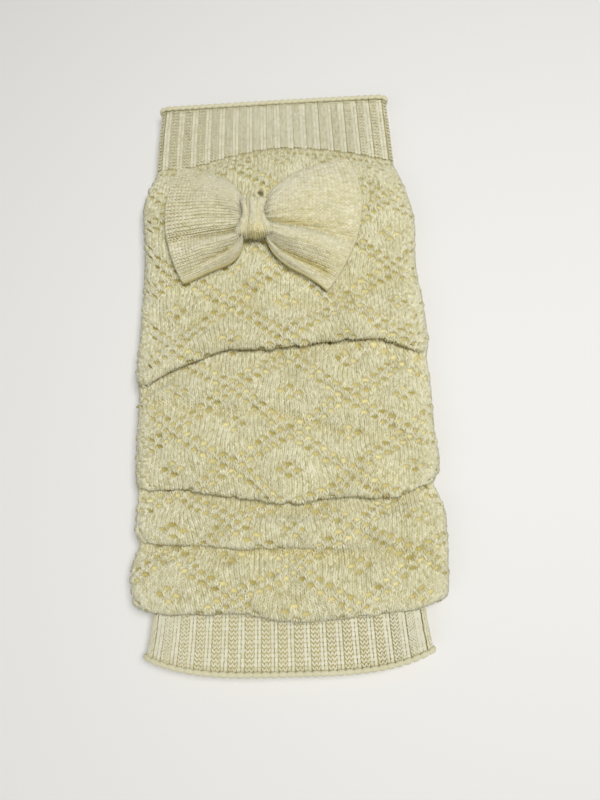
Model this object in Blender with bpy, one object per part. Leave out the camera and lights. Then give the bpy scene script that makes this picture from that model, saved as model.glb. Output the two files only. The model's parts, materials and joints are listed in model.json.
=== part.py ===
"""Pair of slouched knitted boot cuffs, lying flat one on the other, with a knitted bow on the front one.

Metres, +Z up. +Y points to the rib at the bow's end, and the pair lies on Z = 0 round the origin.
"""

import math
from collections import namedtuple

import bpy
import numpy as np

MM = 0.001

# Driving sizes, in millimetres
CUFF_END = 127.5
SEAM_GAP = 0.3
REAR_INSET = 1.3
WALL_BODY = 2.4
WALL_RIB = 1.9
WALL_BOW = 1.7

# Levels of the stacked tubes, in millimetres: underside, side fold and top
Levels = namedtuple("Levels", "low side high")
REAR_RIB = Levels(low=0.0, side=2.4, high=4.8)
REAR_BODY = Levels(low=0.0, side=3.0, high=6.0)
FRONT_RIB = Levels(low=5.1, side=7.5, high=9.9)
FRONT_BODY = Levels(low=6.3, side=9.1, high=15.6)
SWELL_LENGTH = 11.0

# Rib: one repeat is two raised wales and two sunk ones
RIB_REPEATS = 35
RIB_DEPTH = 0.5
RIB_PHASES = ((0.02, 0.0), (0.14, 1.0), (0.44, 1.0), (0.56, 0.0))
RIB_FLAT_SHARE = 0.93
REST_COLUMNS = 10
REST_CORNER = 0.985
SIDE_RIB_LIMIT = -0.35

# Places across a cuff, as shares of its half width from left to right
MARKS = (-1.0, -0.7, -0.35, 0.0, 0.35, 0.7, 1.0)
TOP_SEAM = (93.5, 94.2, 99.3, 101.9, 100.2, 96.5, 92.5)
BOTTOM_SEAM = (-103.2, -99.5, -98.5, -98.5, -98.5, -99.5, -103.2)
BOTTOM_EDGE_LIFT = 7.5
BOTTOM_EDGE_POWER = 3.5

# Rib bands of the front cuff: share of the way from seam to edge, and half widths
RibStation = namedtuple("RibStation", "share left right")
TOP_RIB = (
    RibStation(0.0, 56.7, 53.2),
    RibStation(0.5, 56.0, 52.5),
    RibStation(1.0, 54.8, 51.7),
)
BOTTOM_RIB = (
    RibStation(0.0, 53.4, 52.0),
    RibStation(0.5, 54.4, 52.9),
    RibStation(1.0, 55.9, 54.0),
)
REAR_RIB_HALF = 51.6
REAR_BODY_HALF = 60.2
REAR_TOP_SWELL = 36.0

# Cloth between the top seam and the first valley: share of the way, height, half widths, and how far the
# flat rib's section has become the slouched body's
Shoulder = namedtuple("Shoulder", "share height left right slouch")
SHOULDER = (
    Shoulder(0.04, 10.9, 57.6, 53.6, 0.15),
    Shoulder(0.12, 13.0, 60.2, 55.2, 0.55),
    Shoulder(0.24, 14.9, 62.5, 57.6, 1.0),
    Shoulder(0.40, 15.6, 61.7, 59.8, 1.0),
    Shoulder(0.56, 15.6, 61.0, 60.8, 1.0),
    Shoulder(0.72, 15.3, 61.3, 60.0, 1.0),
    Shoulder(0.86, 14.7, 61.9, 59.8, 1.0),
)

# Fold lines down the front cuff. tuck is how far the cloth slips under the fold, floor the crease's height,
# each at the left, middle and right; left and right end as the half widths in the notch.
Fold = namedtuple("Fold", "name line tuck floor left right")
FOLDS = (
    Fold(
        "valley",
        (10.0, 14.8, 21.0, 22.8, 22.5, 27.6, 31.0),
        (0, 0, 0), (13.6, 13.7, 14.4), 62.5, 60.3,
    ),
    Fold(
        "main",
        (-12.3, -4.3, 2.0, 2.3, 3.8, 4.2, -2.5),
        (4.2, 5.0, 4.4), (11.7, 11.7, 11.7), 62.0, 61.0,
    ),
    Fold(
        "crease",
        (-15.0, -22.0, -23.8, -26.5, -34.0, -36.0, -34.0),
        (0, 0, 0), (12.9, 13.3, 15.2), 61.3, 61.6,
    ),
    Fold(
        "second",
        (-56.1, -55.9, -59.4, -62.8, -61.2, -61.2, -56.5),
        (3.6, 4.2, 4.0), (11.8, 11.8, 11.8), 61.1, 59.4,
    ),
    Fold(
        "third",
        (-76.7, -76.9, -79.4, -80.7, -82.0, -82.0, -82.0),
        (3.8, 1.2, 0), (11.8, 13.3, 14.7), 59.8, 63.2,
    ),
    Fold(
        "hem",
        (-102.6, -103.4, -103.8, -107.1, -106.7, -104.5, -102.6),
        (0, 0, 0), (11.0, 11.0, 11.0), 58.5, 58.5,
    ),
)

# Puff of cloth above each fold: crown height at left, middle and right, reach from the fold up to the crown,
# half widths at the crown, and the share of the way down at which it has risen
Puff = namedtuple("Puff", "crown reach rise left right")
PUFFS = {
    "main": Puff((16.4, 17.3, 16.6), 7.5, 0.36, 63.3, 62.2),
    "crease": Puff((14.4, 14.9, 15.2), 8.0, 0.45, 61.5, 61.7),
    "second": Puff((16.0, 16.7, 16.6), 9.0, 0.40, 62.2, 62.5),
    "third": Puff((15.3, 15.9, 15.7), 6.5, 0.45, 61.7, 63.2),
    "hem": Puff((15.7, 16.1, 15.9), 9.0, 0.35, 62.9, 62.4),
}

# How a soft dip and a tucked fold run from crown to crease: shares of the reach and of the height.
# tuck_share moves a point under the fold, and in_y and in_rise place the wall's inside behind the crease.
Turn = namedtuple("Turn", "soft_y soft_rise hard_y hard_rise tuck_share in_y in_rise")
TURNS = (
    Turn(0.62, 0.74, 0.28, 0.88, 0.0, 3.6, 0.62),
    Turn(0.36, 0.40, 0.0, 0.50, 0.0, 2.6, 0.28),
    Turn(0.16, 0.10, 0.0, 0.16, 0.4, 2.1, -0.02),
)
TUCK_FOR_FOLD = 2.0
EDGE_FADE = 0.12
CREASE_WALL_SHARE = 0.75

# Cloth coming out under a fold: steps from the fold's line, drop under the crease, shares of the next rise
EMERGE_SHARE = 0.6
EMERGE_DROP = 0.5
EMERGE_STEP = 0.4
EMERGE_IN_STEP = 0.9
FREE_STEP = 3.2
FREE_RISE = 0.14
FREE_SOFT_RISE = 0.25
FREE_WIDEN = 0.4
CROWN_DROP = 0.06
LEAST_STEP = 0.8

# The hem's roll over the bottom rib: steps from the lip at the side and in the middle, share of the height,
# step of the wall's inside from the seam and its share of the height, half widths and section
HemTurn = namedtuple("HemTurn", "side_step step rise in_step in_rise left right slouch")
HEM_TURNS = (
    HemTurn(2.7, 2.2, 0.86, 6.4, 0.34, 62.0, 61.8, 0.9),
    HemTurn(0.0, 0.0, 0.46, 4.2, 0.10, 60.2, 60.2, 0.6),
    HemTurn(-0.8, 1.6, 0.10, 2.6, -0.32, 58.0, 57.4, 0.3),
)
HEM_ROOM = 2.6
HEM_CLEAR = 0.9
HEM_TUCK = 0.75
HEM_TUCK_WIDER = 1.4

# Columns round the lace body
FRONT_COLUMNS = 28
BACK_COLUMNS = (0.985, 0.93, 0.62, 0.25)
BODY_ROUND = 4.0
BODY_SHOULDER = 2.2
REAR_ROWS = (0.0, 0.03, 0.06, 0.12, 0.18, 0.40, 0.62, 0.84, 0.94, 0.97, 1.0)
REAR_PLACES = (1.0, 0.99, 0.965, 0.93, 0.5, 0.0)

# Bow: its middle, and each wing as rows of top and bottom edge points from the pinch outwards
BOW_X = -10.1
BOW_Y = 59.5
WingRow = namedtuple("WingRow", "top_x top_y low_x low_y bulge lift body")
LEFT_WING = (
    WingRow(-6.6, 13.2, -6.4, -13.4, 0.0, 1.5, 5.2),
    WingRow(-10.4, 18.8, -10.0, -17.8, 0.5, 1.2, 5.4),
    WingRow(-15.6, 22.6, -15.6, -20.4, 1.2, 0.9, 5.4),
    WingRow(-21.6, 25.2, -21.0, -22.4, 2.4, 0.7, 4.9),
    WingRow(-27.8, 27.8, -26.4, -24.6, 4.2, 0.6, 4.2),
    WingRow(-34.2, 30.2, -31.6, -26.4, 6.8, 0.5, 3.4),
)
RIGHT_WING = (
    WingRow(6.8, 12.2, 6.4, -12.6, 0.0, 1.5, 5.2),
    WingRow(12.0, 18.4, 10.2, -17.8, 0.6, 1.2, 5.4),
    WingRow(18.8, 23.2, 15.2, -21.8, 1.6, 0.9, 5.5),
    WingRow(26.4, 26.4, 20.6, -25.2, 3.4, 0.7, 5.0),
    WingRow(34.2, 28.6, 25.6, -28.8, 6.2, 0.6, 4.3),
    WingRow(42.0, 29.8, 30.2, -33.0, 9.6, 0.5, 3.4),
)
PINCH = WingRow(5.2, 6.6, 5.2, -6.6, 0.0, 3.0, 4.4)
WING_COLUMNS = 14
WING_REST = 13.4
EDGE_BODY = 3.2
EDGE_ROUND = 3
EDGE_SHOULDER = 2
GROOVE = 0.7

# Folds that run out from the pinch: place across at the pinch and at the end, height and width
Pleat = namedtuple("Pleat", "start end height width")
LEFT_PLEATS = (
    Pleat(0.35, 0.30, 1.0, 0.22),
    Pleat(-0.36, -0.34, -2.2, 0.12),
    Pleat(-0.54, -0.68, 1.3, 0.14),
    Pleat(-0.66, -0.94, -1.3, 0.08),
)
RIGHT_PLEATS = (
    Pleat(0.40, 0.45, 0.8, 0.24),
    Pleat(-0.04, -0.32, -1.3, 0.13),
    Pleat(-0.42, -0.56, 1.8, 0.15),
    Pleat(-0.78, -0.82, -1.5, 0.08),
)
PLEAT_FADE = (0.12, 0.88)

BAND_HALF_WIDTH = 4.8
BAND_ROOM = 0.8
BAND_SQUARE = 0.5
BAND_COLUMNS = 20
BAND_ROWS = (-1.0, -0.5, 0.0, 0.5, 1.0)
BAND_CROWN = 0.5

CREAM = (0.86, 0.79, 0.60)
RIB_CREAM = (0.85, 0.79, 0.62)
BOW_CREAM = (0.89, 0.83, 0.68)
YARN_ROUGHNESS = 0.85
SHARP_ANGLE = 50
CORNER_SAMPLES = 400


def ease(share):
    """Smooth step from 0 to 1."""
    share = np.clip(share, 0.0, 1.0)
    return share * share * (3 - 2 * share)


def across(values, places):
    """Smooth curve through the values at MARKS, level at both sides."""
    values = np.asarray(values, float)
    slopes = np.gradient(values, MARKS)
    slopes[[0, -1]] = 0.0
    places = np.asarray(places, float)
    found = np.clip(np.searchsorted(MARKS, places) - 1, 0, len(MARKS) - 2)
    start = np.asarray(MARKS)[found]
    step = np.asarray(MARKS)[found + 1] - start
    share = (places - start) / step
    rise = ease(share)
    lead = share * (1 - share) ** 2
    trail = share * share * (share - 1)
    level = values[found] * (1 - rise) + values[found + 1] * rise
    return level + step * (lead * slopes[found] + trail * slopes[found + 1])


def three(left_middle_right, places):
    """Smooth curve through a left, a middle and a right value."""
    left, middle, right = left_middle_right
    places = np.asarray(places, float)
    return middle + (right - left) / 2 * places + ((left + right) / 2 - middle) * places**2


def flat_round(places):
    """Height of a flattened tube's half over its side fold, 1 where it lies flat."""
    beyond = np.clip((np.abs(places) - RIB_FLAT_SHARE) / (1 - RIB_FLAT_SHARE), 0.0, 1.0)
    return np.sqrt(1 - beyond**2)


def full_round(places):
    """Height of the slouched tube's front over its side fold, 1 in the middle."""
    return (1 - np.clip(np.abs(places), 0.0, 1.0) ** BODY_ROUND) ** (1 / BODY_SHOULDER)


def blend(soft, hard, share):
    return soft * (1 - share) + hard * share


FRONT_PLACES = -np.cos(np.linspace(0.0, math.pi, FRONT_COLUMNS + 1))
BACK_PLACES = np.array(BACK_COLUMNS + tuple(-place for place in reversed(BACK_COLUMNS)))

Row = namedtuple("Row", "y z in_y in_z left right slouch", defaults=(1.0,))


def plain_row(y, z, left, right, slouch=1.0):
    """A row whose inside follows its outside one wall lower."""
    return Row(y, z, y, z - WALL_BODY, left, right, slouch)


def half_between(crown_half, notch_half, rise):
    return notch_half + (crown_half - notch_half) * np.clip(rise, 0.0, 1.0)


def fold_state(fold):
    """The fold's line, tuck, floor and how far it is a tucked fold rather than a dip, at FRONT_PLACES."""
    line = across(fold.line, FRONT_PLACES)
    tuck = three(fold.tuck, FRONT_PLACES) * ease((1 - np.abs(FRONT_PLACES)) / EDGE_FADE)
    tuck = np.clip(tuck, 0.0, None)
    return line, tuck, three(fold.floor, FRONT_PLACES), np.clip(tuck / TUCK_FOR_FOLD, 0.0, 1.0)


def rows_below(fold, puff):
    """The cloth coming out from under a fold, up to the next puff's first rise."""
    line, tuck, floor, hard = fold_state(fold)
    rise = three(puff.crown, FRONT_PLACES) - floor
    rows = []
    if max(fold.tuck) > 0:
        y = blend(line - EMERGE_STEP, line + EMERGE_SHARE * tuck, hard)
        z = blend(floor, floor - EMERGE_DROP, hard)
        in_y = blend(y, line + tuck - EMERGE_IN_STEP, hard)
        in_z = floor - WALL_BODY
        rows.append(Row(y, z, in_y, in_z, fold.left, fold.right))
    y = line - FREE_STEP
    z = floor + blend(FREE_SOFT_RISE, FREE_RISE, hard) * rise
    left = half_between(puff.left, fold.left, FREE_WIDEN)
    right = half_between(puff.right, fold.right, FREE_WIDEN)
    rows.append(plain_row(y, z, left, right))
    return rows


def rows_to_fold(above, fold, puff):
    """The puff from its first rise over its crown and down to the crease of the fold that ends it."""
    start = across(above.line, FRONT_PLACES)
    line, tuck, floor, hard = fold_state(fold)
    crown = three(puff.crown, FRONT_PLACES)
    rise = crown - floor
    rows = []
    rise_y = start + (line - start) * puff.rise
    if above.name != "valley":
        rows.append(plain_row(rise_y, crown - CROWN_DROP * rise, puff.left, puff.right))
    rows.append(plain_row(line + puff.reach, crown, puff.left, puff.right))
    for turn in TURNS:
        soft_y = line + turn.soft_y * puff.reach
        soft_z = floor + turn.soft_rise * rise
        y = blend(soft_y, line + turn.hard_y * puff.reach + turn.tuck_share * tuck, hard)
        z = blend(soft_z, floor + turn.hard_rise * rise, hard)
        in_y = blend(soft_y, line + tuck + turn.in_y, hard)
        in_z = blend(soft_z - WALL_BODY, floor + turn.in_rise * rise, hard)
        left = half_between(puff.left, fold.left, turn.hard_rise)
        right = half_between(puff.right, fold.right, turn.hard_rise)
        rows.append(Row(y, z, in_y, in_z, left, right))
    in_y = line + tuck + hard
    in_z = floor - blend(WALL_BODY, CREASE_WALL_SHARE * WALL_BODY, hard)
    rows.append(Row(line + tuck, floor, in_y, in_z, fold.left, fold.right))
    return rows if max(fold.tuck) > 0 else falling(rows)


def falling(rows):
    """The same rows, kept from turning back up the cuff, so that a soft dip stays one layer."""
    kept = rows[:1]
    for row in rows[1:]:
        y = np.minimum(row.y, kept[-1].y - LEAST_STEP)
        kept.append(row._replace(y=y, in_y=row.in_y + y - row.y))
    return kept


def hem_rows(above, fold, puff):
    """The last puff, which rolls over the rib and turns back under itself to the seam."""
    start = across(above.line, FRONT_PLACES)
    line = across(fold.line, FRONT_PLACES)
    seam = across(BOTTOM_SEAM, FRONT_PLACES)
    roll = ease((1 - np.abs(FRONT_PLACES)) / EDGE_FADE)
    lip = blend(seam + HEM_ROOM, line, roll)
    crown = three(puff.crown, FRONT_PLACES)
    floor = three(fold.floor, FRONT_PLACES)
    rise = crown - floor
    rib = BOTTOM_RIB[0]
    rise_y = start + (line - start) * puff.rise
    rows = [plain_row(rise_y, crown - CROWN_DROP * rise, puff.left, puff.right)]
    rows.append(plain_row(lip + puff.reach, crown, puff.left, puff.right))
    for turn in HEM_TURNS:
        y = lip + blend(turn.side_step, turn.step, roll)
        z = floor + turn.rise * rise
        in_z = floor + turn.in_rise * rise
        rows.append(Row(y, z, seam + turn.in_step, in_z, turn.left, turn.right, turn.slouch))
    tuck_z = np.full_like(seam, FRONT_RIB.high + HEM_CLEAR)
    left, right = rib.left + HEM_TUCK_WIDER, rib.right + HEM_TUCK_WIDER
    rows.append(Row(seam + HEM_TUCK, tuck_z, seam + 2 * HEM_TUCK, tuck_z - WALL_BODY, left, right, 0.0))
    end_z = np.full_like(seam, FRONT_RIB.high)
    end_y = seam + SEAM_GAP / 2
    rows.append(Row(end_y, end_z, end_y, end_z - WALL_RIB, rib.left, rib.right, 0.0))
    return rows


def front_body_rows():
    """Rows of the slouched body's front, from the top seam down to the bottom seam."""
    seam = across(TOP_SEAM, FRONT_PLACES)
    valley = FOLDS[0]
    valley_line = across(valley.line, FRONT_PLACES)
    rib = TOP_RIB[0]
    end_z = np.full_like(seam, FRONT_RIB.high)
    end_y = seam - SEAM_GAP / 2
    rows = [Row(end_y, end_z, end_y, end_z - WALL_RIB, rib.left, rib.right, 0.0)]
    for place in SHOULDER:
        y = seam + (valley_line - seam) * place.share
        rows.append(plain_row(y, np.full_like(seam, place.height), place.left, place.right, place.slouch))
    rows.append(plain_row(valley_line, three(valley.floor, FRONT_PLACES), valley.left, valley.right))
    for above, fold in zip(FOLDS, FOLDS[1:]):
        puff = PUFFS[fold.name]
        rows += rows_below(above, puff)
        rows += hem_rows(above, fold, puff) if fold.name == "hem" else rows_to_fold(above, fold, puff)
    return rows


def swell(seam_distance):
    """How far the flattened rib has become the body, by distance from the seam."""
    return ease(seam_distance / SWELL_LENGTH)


def front_body_rings():
    """Outer and inner rings of the front cuff's body, each a list of points in millimetres."""
    top_back = np.interp(BACK_PLACES, (-1, 1), (TOP_SEAM[0], TOP_SEAM[-1]))
    bottom_back = np.interp(BACK_PLACES, (-1, 1), (BOTTOM_SEAM[0], BOTTOM_SEAM[-1]))
    outer, inner = [], []
    for row in front_body_rows():
        seam_room = np.minimum(row.y[[0, -1]] - BOTTOM_SEAM[0], TOP_SEAM[0] - row.y[[0, -1]])
        side_share = np.interp(FRONT_PLACES, (-1, 1), swell(seam_room))
        side = blend(FRONT_RIB.side, FRONT_BODY.side, side_share)
        form = blend(flat_round(FRONT_PLACES), full_round(FRONT_PLACES), row.slouch)
        half = np.where(FRONT_PLACES < 0, row.left, row.right)
        back_half = np.where(BACK_PLACES < 0, row.left, row.right)
        back_y = np.interp(BACK_PLACES, (-1, 1), row.y[[0, -1]])
        back_share = swell(np.minimum(back_y - bottom_back, top_back - back_y))
        back_side = blend(FRONT_RIB.side, FRONT_BODY.side, back_share)
        low = blend(FRONT_RIB.low, FRONT_BODY.low, back_share)
        back_form = flat_round(BACK_PLACES)
        back_z = back_side - (back_side - low) * back_form
        outer.append(
            np.vstack(
                (
                    np.column_stack((FRONT_PLACES * half, row.y, side + (row.z - side) * form)),
                    np.column_stack((BACK_PLACES * back_half, back_y, back_z)),
                )
            )
        )
        wall = blend(WALL_RIB, WALL_BODY, back_share)
        in_back_z = back_side - (back_side - low - wall) * back_form
        in_x = FRONT_PLACES * (half - WALL_BODY)
        in_y = np.interp(in_x, FRONT_PLACES * half, row.in_y)
        inner.append(
            np.vstack(
                (
                    np.column_stack((in_x, in_y, side + (row.in_z - side) * form)),
                    np.column_stack((BACK_PLACES * (back_half - WALL_BODY), back_y, in_back_z)),
                )
            )
        )
    return outer, inner


def rib_columns(ribbed_back):
    """Places round a flattened tube: share across, share up from the side fold, and rib height."""
    sides = np.linspace(0.0, 1.0, CORNER_SAMPLES)
    half = BOTTOM_RIB[0].left
    tall = FRONT_RIB.high - FRONT_RIB.side
    angle = sides * math.pi / 2
    corner_x = RIB_FLAT_SHARE + (1 - RIB_FLAT_SHARE) * np.cos(angle)
    quarter_x = np.concatenate((corner_x, [0.0]))
    quarter_z = np.concatenate((np.sin(angle), [1.0]))
    loop_x = np.concatenate((-quarter_x, quarter_x[-2::-1], quarter_x[1:], -quarter_x[-2:0:-1]))
    loop_z = np.concatenate((quarter_z, quarter_z[-2::-1], -quarter_z[1:], -quarter_z[-2:0:-1]))
    steps = np.hypot(np.diff(loop_x, append=loop_x[0]) * half, np.diff(loop_z, append=loop_z[0]) * tall)
    along = np.concatenate(([0.0], np.cumsum(steps)))
    places, heights = [], []
    for repeat in range(RIB_REPEATS):
        for phase, height in RIB_PHASES:
            places.append((repeat + phase) / RIB_REPEATS)
            heights.append(height)
    places = np.array(places) * along[-1]
    x = np.interp(places, along, np.append(loop_x, loop_x[0]))
    z = np.interp(places, along, np.append(loop_z, loop_z[0]))
    heights = np.array(heights)
    if ribbed_back:
        return x, z, heights
    shown = z > SIDE_RIB_LIMIT
    rest_x = np.linspace(RIB_FLAT_SHARE, -RIB_FLAT_SHARE, REST_COLUMNS)
    corner = np.array((REST_CORNER,))
    x = np.concatenate((x[shown], corner, rest_x, -corner))
    low = np.concatenate((-flat_round(corner), np.full(REST_COLUMNS, -1.0), -flat_round(corner)))
    z = np.concatenate((z[shown], low))
    return x, z, np.concatenate((heights[shown], np.ones(len(low))))


def rib_rings(stations, levels, seam, edge, columns):
    """Outer and inner rings of a rib band from its seam line to its edge line."""
    x, z, heights = columns
    tall = levels.high - levels.side
    outer, inner = [], []
    for station in stations:
        half = np.where(x < 0, station.left, station.right)
        y = seam(x) + (edge(x) - seam(x)) * station.share
        sink = RIB_DEPTH * (1 - heights)
        edge_share = np.clip((np.abs(x) - RIB_FLAT_SHARE) / (1 - RIB_FLAT_SHARE), 0.0, 1.0)
        out_x = x * half - np.sign(x) * sink * edge_share
        out_z = levels.side + z * (tall - sink * (1 - edge_share**2))
        outer.append(np.column_stack((out_x, y, out_z)))
        in_x = x * (half - WALL_RIB)
        in_places = in_x / half
        in_y = seam(in_places) + (edge(in_places) - seam(in_places)) * station.share
        inner.append(np.column_stack((in_x, in_y, levels.side + z * (tall - WALL_RIB))))
    return outer, inner


def rear_body_rings():
    """Outer and inner rings of the rear cuff's body, which lies plain under the front one."""
    quarter = np.array(REAR_PLACES)
    places = np.concatenate((-quarter, quarter[-2::-1], quarter[1:], -quarter[-2:0:-1]))
    ups = np.concatenate((np.ones(2 * len(quarter) - 1), -np.ones(2 * len(quarter) - 3)))
    form = flat_round(places) * ups
    top = TOP_SEAM[0] - SEAM_GAP / 2
    bottom = BOTTOM_SEAM[0] + SEAM_GAP / 2
    outer, inner = [], []
    for share in REAR_ROWS:
        y = top + (bottom - top) * share
        grown = swell(min(y - bottom, top - y))
        widened = min(ease((top - y) / REAR_TOP_SWELL), swell(y - bottom))
        half = blend(REAR_RIB_HALF, REAR_BODY_HALF, widened)
        tall = blend(REAR_RIB.side, REAR_BODY.side, grown)
        wall = blend(WALL_RIB, WALL_BODY, grown)
        line = np.full_like(places, y)
        outer.append(np.column_stack((places * half, line, tall + tall * form)))
        inner.append(np.column_stack((places * (half - wall), line, tall + (tall - wall) * form)))
    return outer, inner


def body_height(x, y, rings):
    """Height of the front body's cloth at one place between its top seam and its first valley."""
    rows = rings[: len(SHOULDER) + 2]
    count = FRONT_COLUMNS + 1
    heights, lines = [], []
    for ring in rows:
        heights.append(np.interp(x, ring[:count, 0], ring[:count, 2]))
        lines.append(np.interp(x, ring[:count, 0], ring[:count, 1]))
    return np.interp(-y, -np.array(lines), heights)


def pleat_height(pleats, place, share):
    """Height that the folds from the pinch add at one place of a wing."""
    total = 0.0
    for pleat in pleats:
        middle = pleat.start + (pleat.end - pleat.start) * share
        total += pleat.height * math.exp(-(((place - middle) / pleat.width) ** 2))
    return total * math.sin(math.pi * blend(*PLEAT_FADE, share))


def bow_grids(rings):
    """Front and back point grids of the bow strip, from the end of one wing to the end of the other."""
    left_rows = reversed(list(enumerate(LEFT_WING)))
    stations = [(row, LEFT_PLEATS, (index + 1) / len(LEFT_WING)) for index, row in left_rows]
    stations.append((PINCH._replace(top_x=-PINCH.top_x, low_x=-PINCH.low_x), LEFT_PLEATS, 0.0))
    stations.append((PINCH, RIGHT_PLEATS, 0.0))
    stations += [(row, RIGHT_PLEATS, (index + 1) / len(RIGHT_WING)) for index, row in enumerate(RIGHT_WING)]
    front, back = [], []
    for row, pleats, share in stations:
        front_row, back_row = [], []
        for column in range(WING_COLUMNS + 1):
            place = -math.cos(math.pi * column / WING_COLUMNS)
            up = (place + 1) / 2
            swing = math.copysign(row.bulge, row.top_x) * (1 - place * place)
            x = BOW_X + row.low_x + (row.top_x - row.low_x) * up + swing
            y = BOW_Y + row.low_y + (row.top_y - row.low_y) * up
            low = max(body_height(x, y, rings), WING_REST) + row.lift
            full = (1 - abs(place) ** EDGE_ROUND) ** (1 / EDGE_SHOULDER)
            thick = EDGE_BODY + (row.body - EDGE_BODY + pleat_height(pleats, place, share)) * full
            if share == 0.0:
                low = body_height(BOW_X, BOW_Y, rings) + row.lift
            back_row.append((x, y, low))
            front_row.append((x, y, low + thick))
        front.append(front_row)
        back.append(back_row)
    return np.array(front), np.array(back)


def band_rings(strip_front, strip_back):
    """Outer and inner rings of the band, which goes round the pinched middle of the strip."""
    middle = len(LEFT_WING)
    low = strip_back[middle][:, 2].min() - BAND_ROOM
    high = strip_front[middle][:, 2].max() + BAND_ROOM
    half = PINCH.top_y + BAND_ROOM
    angles = np.linspace(0.0, 2 * math.pi, BAND_COLUMNS, endpoint=False)
    round_y = np.sign(np.cos(angles)) * np.abs(np.cos(angles)) ** BAND_SQUARE
    round_z = np.sign(np.sin(angles)) * np.abs(np.sin(angles)) ** BAND_SQUARE
    centre = (low + high) / 2
    tall = (high - low) / 2
    outer, inner = [], []
    for share in BAND_ROWS:
        x = np.full(BAND_COLUMNS, BOW_X + share * BAND_HALF_WIDTH)
        crown = BAND_CROWN * (1 - share * share)
        in_y = BOW_Y + round_y * half
        in_z = centre + round_z * tall
        out_y = BOW_Y + round_y * (half + WALL_BOW + crown)
        top = np.where(round_z > 0, WALL_BOW + crown, WALL_BOW)
        outer.append(np.column_stack((x, out_y, centre + round_z * (tall + top))))
        inner.append(np.column_stack((x, in_y, in_z)))
    return outer, inner


def yarn_material(name, colour):
    material = bpy.data.materials.new(name)
    material.use_nodes = True
    shader = material.node_tree.nodes["Principled BSDF"]
    shader.inputs["Base Color"].default_value = (*colour, 1.0)
    shader.inputs["Roughness"].default_value = YARN_ROUGHNESS
    shader.inputs["Metallic"].default_value = 0.0
    return material


def add_object(name, points, faces, material):
    """A mesh object from points in millimetres, with its faces turned outwards."""
    mesh = bpy.data.meshes.new(name)
    mesh.from_pydata([tuple(point * MM for point in place) for place in points], [], faces)
    mesh.materials.append(material)
    mesh.update()
    volume = 0.0
    mesh.calc_loop_triangles()
    for triangle in mesh.loop_triangles:
        a, b, c = (mesh.vertices[index].co for index in triangle.vertices)
        volume += a.dot(b.cross(c))
    if volume < 0:
        mesh.flip_normals()
    mesh.shade_smooth()
    mesh.set_sharp_from_angle(angle=math.radians(SHARP_ANGLE))
    thing = bpy.data.objects.new(name, mesh)
    bpy.context.scene.collection.objects.link(thing)
    return thing


def add_tube(name, rings, material):
    """A wall of cloth between outer and inner rings, open at both ends."""
    outer, inner = rings
    around = len(outer[0])
    points = np.vstack(outer + inner)
    inner_start = len(outer) * around
    faces = []
    for row in range(len(outer) - 1):
        for column in range(around):
            after = (column + 1) % around
            a, b = row * around + column, row * around + after
            c, d = b + around, a + around
            faces.append((a, b, c, d))
            faces.append(tuple(inner_start + index for index in (d, c, b, a)))
    last = (len(outer) - 1) * around
    for column in range(around):
        after = (column + 1) % around
        faces.append((after, column, inner_start + column, inner_start + after))
        faces.append((last + column, last + after, inner_start + last + after, inner_start + last + column))
    return add_object(name, points, faces, material)


def border_of(grid):
    """Indices round the edge of a grid of points."""
    rows, columns = grid.shape[:2]
    around = [(0, column) for column in range(columns)]
    around += [(row, columns - 1) for row in range(1, rows)]
    around += [(rows - 1, column) for column in range(columns - 2, -1, -1)]
    around += [(row, 0) for row in range(rows - 2, 0, -1)]
    return around


def add_layered(name, front, back, material):
    """A doubled strip: two grids joined round their border by a groove between the layers."""
    rows, columns = front.shape[:2]
    count = rows * columns
    border = border_of(front)
    middle = front.reshape(-1, 3).mean(axis=0)
    groove = []
    for row, column in border:
        edge = (front[row, column] + back[row, column]) / 2
        inward = middle - edge
        inward[2] = 0.0
        groove.append(edge + inward / np.linalg.norm(inward) * GROOVE)
    points = np.vstack((front.reshape(-1, 3), back.reshape(-1, 3), groove))
    faces = []
    for row in range(rows - 1):
        for column in range(columns - 1):
            a = row * columns + column
            quad = (a, a + 1, a + columns + 1, a + columns)
            faces.append(quad)
            faces.append(tuple(count + index for index in reversed(quad)))
    for place, (row, column) in enumerate(border):
        after = (place + 1) % len(border)
        next_row, next_column = border[after]
        here = row * columns + column
        there = next_row * columns + next_column
        groove_here, groove_there = 2 * count + place, 2 * count + after
        faces.append((there, here, groove_here, groove_there))
        faces.append((groove_there, groove_here, count + here, count + there))
    return add_object(name, points, faces, material)


def straight(value):
    return lambda places: np.full_like(places, value)


def add_front_ribs(material):
    """Rib bands of the front cuff, ribbed all round."""
    x, z, heights = columns = rib_columns(ribbed_back=True)

    def seam_of(marks, gap):
        def line(places):
            straight_line = np.interp(places, (-1, 1), (marks[0], marks[-1]))
            return np.where(z > 0, across(marks, places), straight_line) + gap

        return line

    def bottom_edge(places):
        return -CUFF_END + BOTTOM_EDGE_LIFT * np.abs(places) ** BOTTOM_EDGE_POWER

    top = rib_rings(TOP_RIB, FRONT_RIB, seam_of(TOP_SEAM, SEAM_GAP / 2), straight(CUFF_END), columns)
    add_tube("front_cuff_top_rib", top, material)
    bottom = rib_rings(BOTTOM_RIB, FRONT_RIB, seam_of(BOTTOM_SEAM, -SEAM_GAP / 2), bottom_edge, columns)
    add_tube("front_cuff_bottom_rib", bottom, material)


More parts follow.
